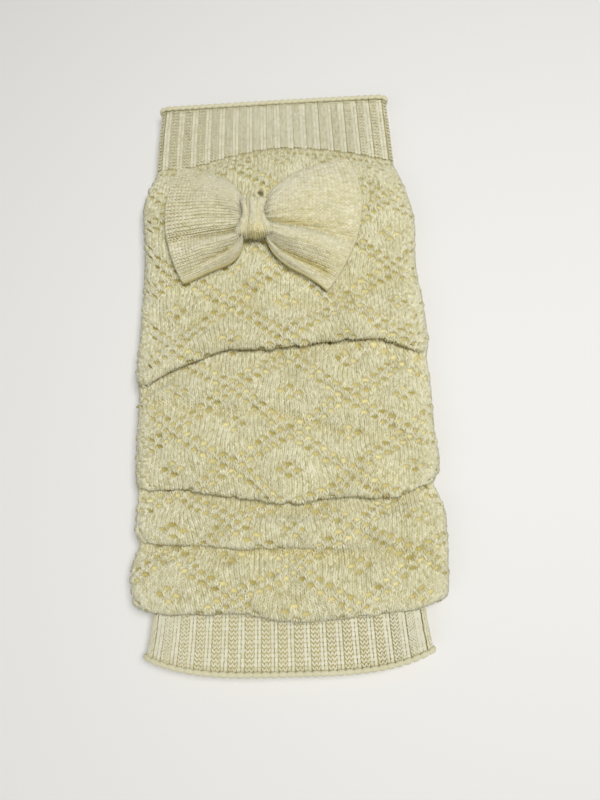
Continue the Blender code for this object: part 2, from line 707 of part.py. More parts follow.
def add_rear_ribs(material):
    """Rib bands of the rear cuff, with the underside that rests left flat."""
    columns = rib_columns(ribbed_back=False)
    stations = (
        RibStation(0.0, REAR_RIB_HALF, REAR_RIB_HALF),
        RibStation(1.0, REAR_RIB_HALF, REAR_RIB_HALF),
    )

    def bottom_edge(places):
        return REAR_INSET - CUFF_END + BOTTOM_EDGE_LIFT * np.abs(places) ** BOTTOM_EDGE_POWER

    top_seam = straight(TOP_SEAM[0] + SEAM_GAP / 2)
    top = rib_rings(stations, REAR_RIB, top_seam, straight(CUFF_END - REAR_INSET), columns)
    add_tube("rear_cuff_top_rib", top, material)
    bottom_seam = straight(BOTTOM_SEAM[0] - SEAM_GAP / 2)
    bottom = rib_rings(stations, REAR_RIB, bottom_seam, bottom_edge, columns)
    add_tube("rear_cuff_bottom_rib", bottom, material)


def add_bow(rings, material):
    front, back = bow_grids(rings)
    add_layered("bow_strip", front, back, material)
    add_tube("bow_band", band_rings(front, back), material)


def main():
    for thing in list(bpy.data.objects):
        bpy.data.objects.remove(thing, do_unlink=True)
    lace_yarn = yarn_material("cream lace yarn", CREAM)
    rib_yarn = yarn_material("cream rib yarn", RIB_CREAM)
    bow_yarn = yarn_material("cream bow yarn", BOW_CREAM)
    body = front_body_rings()
    add_tube("front_cuff_lace_body", body, lace_yarn)
    add_front_ribs(rib_yarn)
    add_tube("rear_cuff_lace_body", rear_body_rings(), lace_yarn)
    add_rear_ribs(rib_yarn)
    add_bow(body[0], bow_yarn)


main()
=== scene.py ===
import json
import math

import bpy
import numpy as np
from mathutils import Matrix, Vector
from mathutils.bvhtree import BVHTree

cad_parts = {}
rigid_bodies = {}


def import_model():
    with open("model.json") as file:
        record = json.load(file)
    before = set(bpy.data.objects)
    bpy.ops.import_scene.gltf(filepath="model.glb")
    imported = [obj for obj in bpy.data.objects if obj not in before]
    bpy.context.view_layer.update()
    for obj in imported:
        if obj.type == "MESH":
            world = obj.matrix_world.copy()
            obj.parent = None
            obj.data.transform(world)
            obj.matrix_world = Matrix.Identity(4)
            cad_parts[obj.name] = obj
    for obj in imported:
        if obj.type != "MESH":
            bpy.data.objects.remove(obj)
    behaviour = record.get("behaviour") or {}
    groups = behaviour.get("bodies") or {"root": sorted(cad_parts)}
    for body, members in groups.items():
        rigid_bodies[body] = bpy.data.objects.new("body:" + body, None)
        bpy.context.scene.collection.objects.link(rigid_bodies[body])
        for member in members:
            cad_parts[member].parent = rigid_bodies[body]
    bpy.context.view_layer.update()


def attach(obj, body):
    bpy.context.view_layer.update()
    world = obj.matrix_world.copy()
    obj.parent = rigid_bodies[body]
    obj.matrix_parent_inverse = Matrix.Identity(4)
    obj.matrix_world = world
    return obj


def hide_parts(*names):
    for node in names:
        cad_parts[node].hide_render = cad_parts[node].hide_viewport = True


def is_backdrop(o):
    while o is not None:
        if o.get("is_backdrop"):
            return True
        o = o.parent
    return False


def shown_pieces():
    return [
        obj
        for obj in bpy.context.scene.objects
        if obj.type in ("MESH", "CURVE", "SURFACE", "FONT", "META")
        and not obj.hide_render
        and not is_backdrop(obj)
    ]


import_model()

mm = 0.001
scene = bpy.context.scene
random = np.random.default_rng(7)

# the flattened tubes: underside, side fold and top, in millimetres
levels = {
    "rearRib": (0.0, 2.4, 4.8),
    "rearBody": (0.0, 3.0, 6.0),
    "frontRib": (5.1, 7.5, 9.9),
    "frontBody": (6.3, 9.1, 15.6),
}

# shares of the half width at which the lines across the cuff are given
marks = (-1.0, -0.7, -0.35, 0.0, 0.35, 0.7, 1.0)

cuffCut = {
    "end": 127.5,
    "seamGap": 0.3,
    "rearInset": 1.3,
    "swellLength": 11.0,
    "topSeam": (93.5, 94.2, 99.3, 101.9, 100.2, 96.5, 92.5),
    "bottomSeam": (-103.2, -99.5, -98.5, -98.5, -98.5, -99.5, -103.2),
    "bottomEdgeLift": 7.5,
    "bottomEdgePower": 3.5,
    "bodyRound": 4.0,
    "bodyShoulder": 2.2,
    "ribFlatShare": 0.93,
    "wales": 140,  # round the lace body
    "courses": 200,
    "groundDrop": 0.82,  # ground cloth below the tops of its stitches
    "groundWall": 1.0,
    "pitDepth": 0.9,
    "pitWiden": 0.24,  # an eyelet opens this share of a stitch wider than its cell
}

# half widths of the front cuff's ribs: share from seam to edge, left, right
ribBands = {
    "top": ((0.0, 56.7, 53.2), (0.5, 56.0, 52.5), (1.0, 54.8, 51.7)),
    "bottom": ((0.0, 53.4, 52.0), (0.5, 54.4, 52.9), (1.0, 55.9, 54.0)),
    "rear": ((0.0, 51.6, 51.6), (1.0, 51.6, 51.6)),
}

# cloth from the top seam to the first valley: share, height, left, right, slouch
shoulder = (
    (0.04, 10.9, 57.6, 53.6, 0.15),
    (0.12, 13.0, 60.2, 55.2, 0.55),
    (0.24, 14.9, 62.5, 57.6, 1.0),
    (0.40, 15.6, 61.7, 59.8, 1.0),
    (0.56, 15.6, 61.0, 60.8, 1.0),
    (0.72, 15.3, 61.3, 60.0, 1.0),
    (0.86, 14.7, 61.9, 59.8, 1.0),
)

# each fold's line across, how far cloth slips under it, its floor, and the puff of cloth above it
folds = (
    {"name": "valley", "line": (10.0, 14.8, 21.0, 22.8, 22.5, 27.6, 31.0),
     "tuck": (0, 0, 0), "floor": (13.6, 13.7, 14.4), "notch": (62.5, 60.3)},
    {"name": "main", "line": (-12.3, -4.3, 2.0, 2.3, 3.8, 4.2, -2.5),
     "tuck": (4.2, 5.0, 4.4), "floor": (11.7, 11.7, 11.7), "notch": (62.0, 61.0),
     "crown": (16.4, 17.3, 16.6), "reach": 7.5, "rise": 0.36, "puff": (63.3, 62.2)},
    {"name": "crease", "line": (-15.0, -22.0, -23.8, -26.5, -34.0, -36.0, -34.0),
     "tuck": (0, 0, 0), "floor": (12.9, 13.3, 15.2), "notch": (61.3, 61.6),
     "crown": (14.4, 14.9, 15.2), "reach": 8.0, "rise": 0.45, "puff": (61.5, 61.7)},
    {"name": "second", "line": (-56.1, -55.9, -59.4, -62.8, -61.2, -61.2, -56.5),
     "tuck": (3.6, 4.2, 4.0), "floor": (11.8, 11.8, 11.8), "notch": (61.1, 59.4),
     "crown": (16.0, 16.7, 16.6), "reach": 9.0, "rise": 0.40, "puff": (62.2, 62.5)},
    {"name": "third", "line": (-76.7, -76.9, -79.4, -80.7, -82.0, -82.0, -82.0),
     "tuck": (3.8, 1.2, 0), "floor": (11.8, 13.3, 14.7), "notch": (59.8, 63.2),
     "crown": (15.3, 15.9, 15.7), "reach": 6.5, "rise": 0.45, "puff": (61.7, 63.2)},
    {"name": "hem", "line": (-102.6, -103.4, -103.8, -107.1, -106.7, -104.5, -102.6),
     "tuck": (0, 0, 0), "floor": (11.0, 11.0, 11.0), "notch": (58.5, 58.5),
     "crown": (15.7, 16.1, 15.9), "reach": 9.0, "rise": 0.35, "puff": (62.9, 62.4)},
)

# from crown to crease, as shares of reach and height: soft y, soft rise, hard y, hard rise, tuck share
foldTurns = ((0.62, 0.74, 0.28, 0.88, 0.0), (0.36, 0.40, 0.0, 0.50, 0.0), (0.16, 0.10, 0.0, 0.16, 0.4))
foldEase = {
    "tuckForFold": 2.0, "edgeFade": 0.12, "crownDrop": 0.06, "emergeShare": 0.6, "emergeDrop": 0.5,
    "emergeStep": 0.4, "freeStep": 3.2, "freeRise": 0.14, "freeSoftRise": 0.25, "freeWiden": 0.4,
    "leastStep": 0.8,
}

# the hem's roll: step from the lip at the side and middle, rise, left, right, slouch
hemTurns = (
    (2.7, 2.2, 0.86, 62.0, 61.8, 0.9),
    (0.0, 0.0, 0.46, 60.2, 60.2, 0.6),
    (-0.8, 1.6, 0.10, 58.0, 57.4, 0.3),
)
hemEase = {"room": 2.6, "clear": 0.9, "tuck": 0.75, "tuckWider": 1.4}


def ease(share):
    share = np.clip(share, 0.0, 1.0)
    return share * share * (3 - 2 * share)


def mix(soft, hard, share):
    return soft * (1 - share) + hard * share


def across(values, places):
    # smooth curve through the values at marks, level at both sides
    values = np.asarray(values, float)
    slopes = np.gradient(values, marks)
    slopes[[0, -1]] = 0.0
    places = np.asarray(places, float)
    found = np.clip(np.searchsorted(marks, places) - 1, 0, len(marks) - 2)
    start = np.asarray(marks)[found]
    step = np.asarray(marks)[found + 1] - start
    share = (places - start) / step
    rise = ease(share)
    lead = share * (1 - share) ** 2
    trail = share * share * (share - 1)
    level = values[found] * (1 - rise) + values[found + 1] * rise
    return level + step * (lead * slopes[found] + trail * slopes[found + 1])


def three(leftMiddleRight, places):
    left, middle, right = leftMiddleRight
    return middle + (right - left) / 2 * places + ((left + right) / 2 - middle) * places**2


def flatRound(places):
    flat = cuffCut["ribFlatShare"]
    beyond = np.clip((np.abs(places) - flat) / (1 - flat), 0.0, 1.0)
    return np.sqrt(1 - beyond**2)


def fullRound(places):
    return (1 - np.clip(np.abs(places), 0.0, 1.0) ** cuffCut["bodyRound"]) ** (1 / cuffCut["bodyShoulder"])


def swell(distance):
    return ease(distance / cuffCut["swellLength"])


def foldState(fold, places):
    line = across(fold["line"], places)
    tuck = three(fold["tuck"], places) * ease((1 - np.abs(places)) / foldEase["edgeFade"])
    tuck = np.clip(tuck, 0.0, None)
    return line, tuck, three(fold["floor"], places), np.clip(tuck / foldEase["tuckForFold"], 0.0, 1.0)


def halfBetween(puffHalf, notchHalf, rise):
    return notchHalf + (puffHalf - notchHalf) * min(max(rise, 0.0), 1.0)


foldRows = {}  # each fold's crease, as a row of slouchedRows


def slouchedRows(places):
    # rows of the front's cloth from the top seam down: y, z, left half, right half, slouch
    seam = across(cuffCut["topSeam"], places)
    low = across(cuffCut["bottomSeam"], places)
    ribTop = np.full_like(seam, levels["frontRib"][2])
    valleyLine = across(folds[0]["line"], places)
    rows = [(seam - cuffCut["seamGap"] / 2, ribTop, *ribBands["top"][0][1:], 0.0)]
    for share, height, left, right, slouch in shoulder:
        rows.append((seam + (valleyLine - seam) * share, np.full_like(seam, height), left, right, slouch))
    rows.append((valleyLine, three(folds[0]["floor"], places), *folds[0]["notch"], 1.0))
    for above, fold in zip(folds, folds[1:]):
        start, startTuck, startFloor, startHard = foldState(above, places)
        line, tuck, floor, hard = foldState(fold, places)
        crown = three(fold["crown"], places)
        emerge = crown - startFloor
        if max(above["tuck"]) > 0:
            y = mix(start - foldEase["emergeStep"], start + foldEase["emergeShare"] * startTuck, startHard)
            z = mix(startFloor, startFloor - foldEase["emergeDrop"], startHard)
            rows.append((y, z, *above["notch"], 1.0))
        z = startFloor + mix(foldEase["freeSoftRise"], foldEase["freeRise"], startHard) * emerge
        sides = [halfBetween(p, n, foldEase["freeWiden"]) for p, n in zip(fold["puff"], above["notch"])]
        rows.append((start - foldEase["freeStep"], z, *sides, 1.0))
        rise = crown - floor
        riseY = start + (line - start) * fold["rise"]
        if fold["name"] == "hem":
            roll = ease((1 - np.abs(places)) / foldEase["edgeFade"])
            lip = mix(low + hemEase["room"], line, roll)
            rows.append((riseY, crown - foldEase["crownDrop"] * rise, *fold["puff"], 1.0))
            rows.append((lip + fold["reach"], crown, *fold["puff"], 1.0))
            for sideStep, step, up, left, right, slouch in hemTurns:
                rows.append((lip + mix(sideStep, step, roll), floor + up * rise, left, right, slouch))
            ends = [half + hemEase["tuckWider"] for half in ribBands["bottom"][0][1:]]
            rows.append((low + hemEase["tuck"], ribTop + hemEase["clear"], *ends, 0.0))
            rows.append((low + cuffCut["seamGap"] / 2, ribTop, *ribBands["bottom"][0][1:], 0.0))
            continue
        if above["name"] != "valley":
            rows.append((riseY, crown - foldEase["crownDrop"] * rise, *fold["puff"], 1.0))
        rows.append((line + fold["reach"], crown, *fold["puff"], 1.0))
        for softY, softRise, hardY, hardRise, tuckShare in foldTurns:
            y = mix(line + softY * fold["reach"], line + hardY * fold["reach"] + tuckShare * tuck, hard)
            z = mix(floor + softRise * rise, floor + hardRise * rise, hard)
            sides = [halfBetween(p, n, hardRise) for p, n in zip(fold["puff"], fold["notch"])]
            rows.append((y, z, *sides, 1.0))
        rows.append((line + tuck, floor, *fold["notch"], 1.0))
        foldRows[fold["name"]] = len(rows) - 1
        if max(fold["tuck"]) == 0:
            rows = keepFalling(rows, 6)
    return rows


def keepFalling(rows, count):
    # the last rows never turn back up the cuff, so that a soft dip stays one layer
    kept = list(rows[:-count])
    for y, *rest in rows[-count:]:
        kept.append((np.minimum(y, kept[-1][0] - foldEase["leastStep"]), *rest))
    return kept


def frontPoints(places):
    # the slouched front over these places: rows x places x 3
    grid = []
    for y, z, left, right, slouch in slouchedRows(places):
        ends = betweenEnds(y, places)
        room = np.minimum(ends - cuffCut["bottomSeam"][0], cuffCut["topSeam"][0] - ends)
        side = mix(levels["frontRib"][1], levels["frontBody"][1], swell(room))
        form = mix(flatRound(places), fullRound(places), slouch)
        half = np.where(places < 0, left, right)
        grid.append(np.column_stack((places * half, y, side + (z - side) * form)))
    return np.array(grid)


def betweenEnds(y, places):
    return np.interp(places, (places[0], places[-1]), (y[0], y[-1]))


def backPoints(places):
    # the flat panel behind, in the same rows, from the right side to the left
    edges = np.array((-1.0, 1.0))
    topBack = np.interp(places, (-1, 1), (cuffCut["topSeam"][0], cuffCut["topSeam"][-1]))
    lowBack = np.interp(places, (-1, 1), (cuffCut["bottomSeam"][0], cuffCut["bottomSeam"][-1]))
    grid = []
    for y, z, left, right, slouch in slouchedRows(edges):
        backY = np.interp(places, edges, y)
        share = swell(np.minimum(backY - lowBack, topBack - backY))
        side = mix(levels["frontRib"][1], levels["frontBody"][1], share)
        low = mix(levels["frontRib"][0], levels["frontBody"][0], share)
        half = np.where(places < 0, left, right)
        grid.append(np.column_stack((places * half, backY, side - (side - low) * flatRound(places))))
    return np.array(grid)


def evenPlaces(form, tall, half, count):
    # places across that are evenly spaced along the cloth, sides included
    fine = np.sin(np.linspace(-math.pi / 2, math.pi / 2, 4001))
    line = np.concatenate(([0.0], np.cumsum(np.hypot(np.diff(fine) * half, np.diff(form(fine)) * tall))))
    return np.interp(np.linspace(0.0, line[-1], count + 1), line, fine), line[-1]


def smoothRows(grid, steps=10):
    # Hermite curves through the rows, column by column, by chord length
    chords = np.linalg.norm(np.diff(grid, axis=0), axis=2)
    chords = np.maximum(chords, 0.05)
    slopes = np.zeros_like(grid)
    spans = (chords[:-1] + chords[1:])[..., None]
    slopes[1:-1] = (grid[2:] - grid[:-2]) / spans
    slopes[0] = (grid[1] - grid[0]) / chords[0][:, None]
    slopes[-1] = (grid[-1] - grid[-2]) / chords[-1][:, None]
    out = [grid[:1]]
    for share in np.linspace(0, 1, steps + 1)[1:]:
        rise = ease(share)
        lead, trail = share * (1 - share) ** 2, share * share * (share - 1)
        part = grid[:-1] * (1 - rise) + grid[1:] * rise
        part = part + chords[..., None] * (lead * slopes[:-1] + trail * slopes[1:])
        out.append(part)
    inner = np.stack(out[1:], axis=1).reshape(-1, *grid.shape[1:])
    return np.concatenate((grid[:1], inner))


def evenRows(grid, count):
    # the same columns with their rows evenly spaced along the cloth
    lengths = np.linalg.norm(np.diff(grid, axis=0), axis=2)
    line = np.vstack((np.zeros(grid.shape[1]), np.cumsum(lengths, axis=0)))
    out = np.empty((count + 1, grid.shape[1], 3))
    for column in range(grid.shape[1]):
        at = np.linspace(0.0, line[-1, column], count + 1)
        for axis in range(3):
            out[:, column, axis] = np.interp(at, line[:, column], grid[:, column, axis])
    return out, line[-1]


def unit(vectors):
    return vectors / np.maximum(np.linalg.norm(vectors, axis=-1, keepdims=True), 1e-9)


def ringNormals(grid):
    # outward normals of a tube grid (rows from top down, columns round), closed across its columns
    around = np.roll(grid, -1, axis=1) - np.roll(grid, 1, axis=1)
    down = np.gradient(grid, axis=0)
    return unit(np.cross(down, around))


def blurRows(values, width):
    # running mean down the rows
    kernel = np.hanning(2 * width + 1)
    kernel /= kernel.sum()
    padded = np.pad(values, ((width, width), (0, 0)), mode="edge")
    return np.apply_along_axis(lambda line: np.convolve(line, kernel, mode="valid"), 0, padded)


def newMesh(name, points, faces):
    mesh = bpy.data.meshes.new(name)
    mesh.from_pydata((np.asarray(points) * mm).tolist(), [], faces)
    mesh.update()
    return mesh


def addPiece(name, mesh, material=None):
    piece = bpy.data.objects.new(name, mesh)
    scene.collection.objects.link(piece)
    if material is not None:
        mesh.materials.clear()
        mesh.materials.append(material)
    return piece


def storeFloats(mesh, name, values):
    layer = mesh.attributes.new(name, "FLOAT", "POINT")
    layer.data.foreach_set("value", np.asarray(values, np.float32).ravel())


def storeVectors(mesh, name, values):
    layer = mesh.attributes.new(name, "FLOAT_VECTOR", "POINT")
    layer.data.foreach_set("vector", np.asarray(values, np.float32).ravel())


def volumeOf(points, faces):
    total = 0.0
    for face in faces:
        corners = points[list(face)]
        for a, b in zip(corners[1:-1], corners[2:]):
            total += np.dot(corners[0], np.cross(a, b))
    return total


# yarn materials
yarnLook = {
    "cream": (0.60, 0.555, 0.305),
    "creamPale": (0.93, 0.912, 0.715),
    # darker and lighter ochre of the painted shade
    "shadeOchre": (0.52, 0.43, 0.12),
    "paleShadeOchre": (0.93, 0.83, 0.40),
    "bowCream": (0.66, 0.61, 0.37),
    "bowPale": (0.925, 0.895, 0.70),
    "roughness": 0.88,
    "sheen": 0.22,
    "sheenRoughness": 0.4,
    "sheenTint": (1.0, 0.97, 0.88),
    "fibreScale": 1600.0,
    "blotchScale": 55.0,
    "fibreShare": 0.55,
    "blotchShare": 0.35,
    "glow": 0.18,  # share of the light that goes through the yarn
    "glowReach": 0.0011,
    "glowSpread": (1.0, 0.85, 0.45),
    "bump": 0.5,
    "bumpHeight": 0.00012,
}


def yarnMaterial(name, deep, pale, shadeOchre, paleShadeOchre):
    # cream yarn: two tones in soft blotches and fine fibres, also set by the shade attribute, which holds random tone
    # and, in places, painted shade; painted ochre shade where paintedShade is high
    material = bpy.data.materials.new(name)
    material.use_nodes = True
    tree = material.node_tree
    shader = tree.nodes["Principled BSDF"]
    shader.inputs["Roughness"].default_value = yarnLook["roughness"]
    shader.inputs["Sheen Weight"].default_value = yarnLook["sheen"]
    shader.inputs["Sheen Roughness"].default_value = yarnLook["sheenRoughness"]
    shader.inputs["Sheen Tint"].default_value = (*yarnLook["sheenTint"], 1.0)
    shader.inputs["Subsurface Weight"].default_value = yarnLook["glow"]
    shader.inputs["Subsurface Scale"].default_value = yarnLook["glowReach"]
    shader.inputs["Subsurface Radius"].default_value = yarnLook["glowSpread"]
    place = tree.nodes.new("ShaderNodeTexCoord")
    fibre = tree.nodes.new("ShaderNodeTexNoise")
    fibre.inputs["Scale"].default_value = yarnLook["fibreScale"]
    fibre.inputs["Detail"].default_value = 3.0
    blotch = tree.nodes.new("ShaderNodeTexNoise")
    blotch.inputs["Scale"].default_value = yarnLook["blotchScale"]
    blotch.inputs["Detail"].default_value = 2.0
    shade = tree.nodes.new("ShaderNodeAttribute")
    shade.attribute_name = "shade"
    # the share of painted ochre shade at each point
    paintedShade = tree.nodes.new("ShaderNodeAttribute")
    paintedShade.attribute_name = "paintedShade"
    blotched = tree.nodes.new("ShaderNodeMath")
    blotched.operation = "MULTIPLY_ADD"
    blotched.inputs[1].default_value = yarnLook["blotchShare"]
    fibred = tree.nodes.new("ShaderNodeMath")
    fibred.operation = "MULTIPLY_ADD"
    fibred.inputs[1].default_value = yarnLook["fibreShare"]
    fibred.use_clamp = True
    tone = tree.nodes.new("ShaderNodeMix")
    tone.data_type = "RGBA"
    tone.inputs["A"].default_value = (*deep, 1.0)
    tone.inputs["B"].default_value = (*pale, 1.0)
    # painted ochre shade, darker or lighter with the yarn's tone
    shadeOchreTone = tree.nodes.new("ShaderNodeMix")
    shadeOchreTone.data_type = "RGBA"
    shadeOchreTone.inputs["A"].default_value = (*shadeOchre, 1.0)
    shadeOchreTone.inputs["B"].default_value = (*paleShadeOchre, 1.0)
    shaded = tree.nodes.new("ShaderNodeMix")
    shaded.data_type = "RGBA"
    bump = tree.nodes.new("ShaderNodeBump")
    bump.inputs["Strength"].default_value = yarnLook["bump"]
    bump.inputs["Distance"].default_value = yarnLook["bumpHeight"]
    link = tree.links.new
    link(place.outputs["Object"], fibre.inputs["Vector"])
    link(place.outputs["Object"], blotch.inputs["Vector"])
    link(blotch.outputs["Fac"], blotched.inputs[0])
    link(shade.outputs["Fac"], blotched.inputs[2])
    link(fibre.outputs["Fac"], fibred.inputs[0])
    link(blotched.outputs[0], fibred.inputs[2])
    link(fibred.outputs[0], tone.inputs["Factor"])
    link(fibred.outputs[0], shadeOchreTone.inputs["Factor"])
    link(tone.outputs["Result"], shaded.inputs["A"])
    link(shadeOchreTone.outputs["Result"], shaded.inputs["B"])
    link(paintedShade.outputs["Fac"], shaded.inputs["Factor"])
    link(shaded.outputs["Result"], shader.inputs["Base Color"])
    link(fibre.outputs["Fac"], bump.inputs["Height"])
    link(bump.outputs["Normal"], shader.inputs["Normal"])
    return material


shadows = (yarnLook["shadeOchre"], yarnLook["paleShadeOchre"])
laceYarn = yarnMaterial("laceYarn", yarnLook["cream"], yarnLook["creamPale"], *shadows)
ribYarn = yarnMaterial("ribYarn", yarnLook["cream"], yarnLook["creamPale"], *shadows)
bowYarn = yarnMaterial("bowYarn", yarnLook["bowCream"], yarnLook["bowPale"], *shadows)
print("yarn materials made")


# one half stitch: a short closed spindle of yarn, one unit long and wide, with its ridge up
def legMesh(sides=3):
    angles = np.linspace(0, 2 * math.pi, sides, endpoint=False) + math.pi / 2
    points = [(0.0, -0.5, -0.22)]
    for y, lift, size in ((-0.24, 0.02, 1.0), (0.24, 0.02, 1.0)):
        for angle in angles:
            points.append((0.5 * size * math.cos(angle), y, lift + 0.5 * size * math.sin(angle)))
    points.append((0.0, 0.5, -0.22))
    last = len(points) - 1
    faces = []
    for side in range(sides):
        after = (side + 1) % sides
        faces.append((0, 1 + side, 1 + after))
        faces.append((1 + side, 1 + sides + side, 1 + sides + after, 1 + after))
        faces.append((last, 1 + sides + after, 1 + sides + side))
    mesh = bpy.data.meshes.new("yarnLeg")
    mesh.from_pydata(points, [], faces)
    if volumeOf(np.array(points), faces) < 0:
        mesh.flip_normals()
    mesh.update()
    for edge in mesh.edges:
        # the underside keeps its own shading, so that the flanks stay light
        low = [mesh.vertices[index].co.z < 0 for index in edge.vertices]
        across = mesh.vertices[edge.vertices[0]].co.x * mesh.vertices[edge.vertices[1]].co.x < 0
        edge.use_edge_sharp = all(low) and not across
    return mesh


def fibreMesh():
    # one loose fibre: a thin closed sliver, one unit long and wide
    points = [(0.0, -0.5, 0.0), (0.5, 0.0, 0.1), (-0.5, 0.0, 0.1), (0.0, 0.0, 0.9), (0.0, 0.5, 0.0)]
    faces = [(0, 1, 2), (0, 3, 1), (0, 2, 3), (4, 2, 1), (4, 1, 3), (4, 3, 2)]
    mesh = bpy.data.meshes.new("looseFibre")
    mesh.from_pydata(points, [], faces)
    if volumeOf(np.array(points), faces) < 0:
        mesh.flip_normals()
    mesh.update()
    return mesh


yarnLeg = addPiece("yarnLeg", legMesh())
looseFibre = addPiece("looseFibre", fibreMesh())

knitLook = {"length": 1.0, "width": 1.0, "turn": 0.16, "uneven": 0.12, "seed": 11}


def knitTree():
    # a yarn leg on every point, laid along legWay with its top to outWay
    tree = bpy.data.node_groups.new("knitLegs", "GeometryNodeTree")
    face = tree.interface
    face.new_socket("Geometry", in_out="INPUT", socket_type="NodeSocketGeometry")
    face.new_socket("Leg", in_out="INPUT", socket_type="NodeSocketObject")
    face.new_socket("Leg length", in_out="INPUT", socket_type="NodeSocketFloat")
    face.new_socket("Leg width", in_out="INPUT", socket_type="NodeSocketFloat")
    face.new_socket("Turn", in_out="INPUT", socket_type="NodeSocketFloat")
    face.new_socket("Uneven", in_out="INPUT", socket_type="NodeSocketFloat")
    face.new_socket("Seed", in_out="INPUT", socket_type="NodeSocketInt")
    face.new_socket("Yarn", in_out="INPUT", socket_type="NodeSocketMaterial")
    face.new_socket("Geometry", in_out="OUTPUT", socket_type="NodeSocketGeometry")
    node = tree.nodes.new
    start, end = node("NodeGroupInput"), node("NodeGroupOutput")
    link = tree.links.new

    def named(name):
        read = node("GeometryNodeInputNamedAttribute")
        read.data_type = "FLOAT_VECTOR"
        read.inputs["Name"].default_value = name
        return read.outputs["Attribute"]

    def spread(amount, seedStep):
        # an even random vector from -amount to amount
        low = node("ShaderNodeVectorMath")
        low.operation = "SCALE"
        low.inputs["Vector"].default_value = (-1.0, -1.0, -1.0)
        high = node("ShaderNodeVectorMath")
        high.operation = "SCALE"
        high.inputs["Vector"].default_value = (1.0, 1.0, 1.0)
        link(amount, low.inputs["Scale"])
        link(amount, high.inputs["Scale"])
        pick = node("FunctionNodeRandomValue")
        pick.data_type = "FLOAT_VECTOR"
        seed = node("ShaderNodeMath")
        seed.inputs[1].default_value = seedStep
        link(start.outputs["Seed"], seed.inputs[0])
        link(low.outputs["Vector"], pick.inputs["Min"])
        link(high.outputs["Vector"], pick.inputs["Max"])
        link(seed.outputs[0], pick.inputs["Seed"])
        return pick.outputs["Value"]

    leg = node("GeometryNodeObjectInfo")
    link(start.outputs["Leg"], leg.inputs["Object"])
    lay = node("FunctionNodeAxesToRotation")
    lay.primary_axis = "Z"
    lay.secondary_axis = "Y"
    link(named("outWay"), lay.inputs["Primary Axis"])
    link(named("legWay"), lay.inputs["Secondary Axis"])
    wobble = node("FunctionNodeEulerToRotation")
    link(spread(start.outputs["Turn"], 0), wobble.inputs["Euler"])
    turned = node("FunctionNodeRotateRotation")
    turned.rotation_space = "LOCAL"
    link(lay.outputs["Rotation"], turned.inputs["Rotation"])
    link(wobble.outputs["Rotation"], turned.inputs["Rotate By"])
    sizes = node("ShaderNodeCombineXYZ")
    link(start.outputs["Leg width"], sizes.inputs["X"])
    link(start.outputs["Leg length"], sizes.inputs["Y"])
    link(start.outputs["Leg width"], sizes.inputs["Z"])
    sized = node("ShaderNodeVectorMath")
    sized.operation = "MULTIPLY"
    link(named("legSize"), sized.inputs[0])
    link(sizes.outputs["Vector"], sized.inputs[1])
    grown = node("ShaderNodeVectorMath")
    grown.operation = "MULTIPLY_ADD"
    link(sized.outputs["Vector"], grown.inputs[0])
    link(spread(start.outputs["Uneven"], 1), grown.inputs[1])
    link(sized.outputs["Vector"], grown.inputs[2])
    place = node("GeometryNodeInstanceOnPoints")
    link(start.outputs["Geometry"], place.inputs["Points"])
    link(leg.outputs["Geometry"], place.inputs["Instance"])
    link(turned.outputs["Rotation"], place.inputs["Rotation"])
    link(grown.outputs["Vector"], place.inputs["Scale"])
    real = node("GeometryNodeRealizeInstances")
    link(place.outputs["Instances"], real.inputs["Geometry"])
    smooth = node("GeometryNodeSetShadeSmooth")
    link(real.outputs["Geometry"], smooth.inputs["Geometry"])
    dress = node("GeometryNodeSetMaterial")
    link(smooth.outputs["Geometry"], dress.inputs["Geometry"])
    link(start.outputs["Yarn"], dress.inputs["Material"])
    link(dress.outputs["Geometry"], end.inputs["Geometry"])
    return tree


knitLegs = knitTree()


def setInput(modifier, name, value):
    for item in modifier.node_group.interface.items_tree:
        if item.item_type == "SOCKET" and item.in_out == "INPUT" and item.name == name:
            modifier[item.identifier] = value


def knitPiece(name, legs, material, look=knitLook, template=None):
    # legs: dictionary of arrays in millimetres; gives one plain mesh piece
    mesh = bpy.data.meshes.new(name + "Points")
    mesh.vertices.add(len(legs["at"]))
    mesh.vertices.foreach_set("co", (legs["at"] * mm).astype(np.float32).ravel())
    storeVectors(mesh, "outWay", legs["out"])
    storeVectors(mesh, "legWay", legs["way"])
    storeVectors(mesh, "legSize", legs["size"] * mm)
    storeFloats(mesh, "paintedShade", legs["paintedShade"])
    storeFloats(mesh, "shade", legs["shade"])
    holder = addPiece(name + "Points", mesh)
    modifier = holder.modifiers.new("knit", "NODES")
    modifier.node_group = knitLegs
    setInput(modifier, "Leg", template or yarnLeg)
    setInput(modifier, "Leg length", look["length"])
    setInput(modifier, "Leg width", look["width"])
    setInput(modifier, "Turn", look["turn"])
    setInput(modifier, "Uneven", look["uneven"])
    setInput(modifier, "Seed", look["seed"])
    setInput(modifier, "Yarn", material)
    bpy.context.view_layer.update()
    seen = holder.evaluated_get(bpy.context.evaluated_depsgraph_get())
    knitted = bpy.data.meshes.new_from_object(seen)
    knitted.name = name
    places = np.empty(len(knitted.vertices) * 3, np.float32)
    knitted.vertices.foreach_get("co", places)
    places[2::3] = np.maximum(places[2::3], 0.0)
    knitted.vertices.foreach_set("co", places)
    holder.modifiers.remove(modifier)
    bpy.data.objects.remove(holder)
    for spare in ("outWay", "legWay", "legSize"):
        if spare in knitted.attributes:
            knitted.attributes.remove(knitted.attributes[spare])
    piece = addPiece(name, knitted)
    print(f"{name}: {len(knitted.polygons)} faces")
    return piece


def joinLegs(*parts):
    return {key: np.concatenate([part[key] for part in parts]) for key in parts[0]}


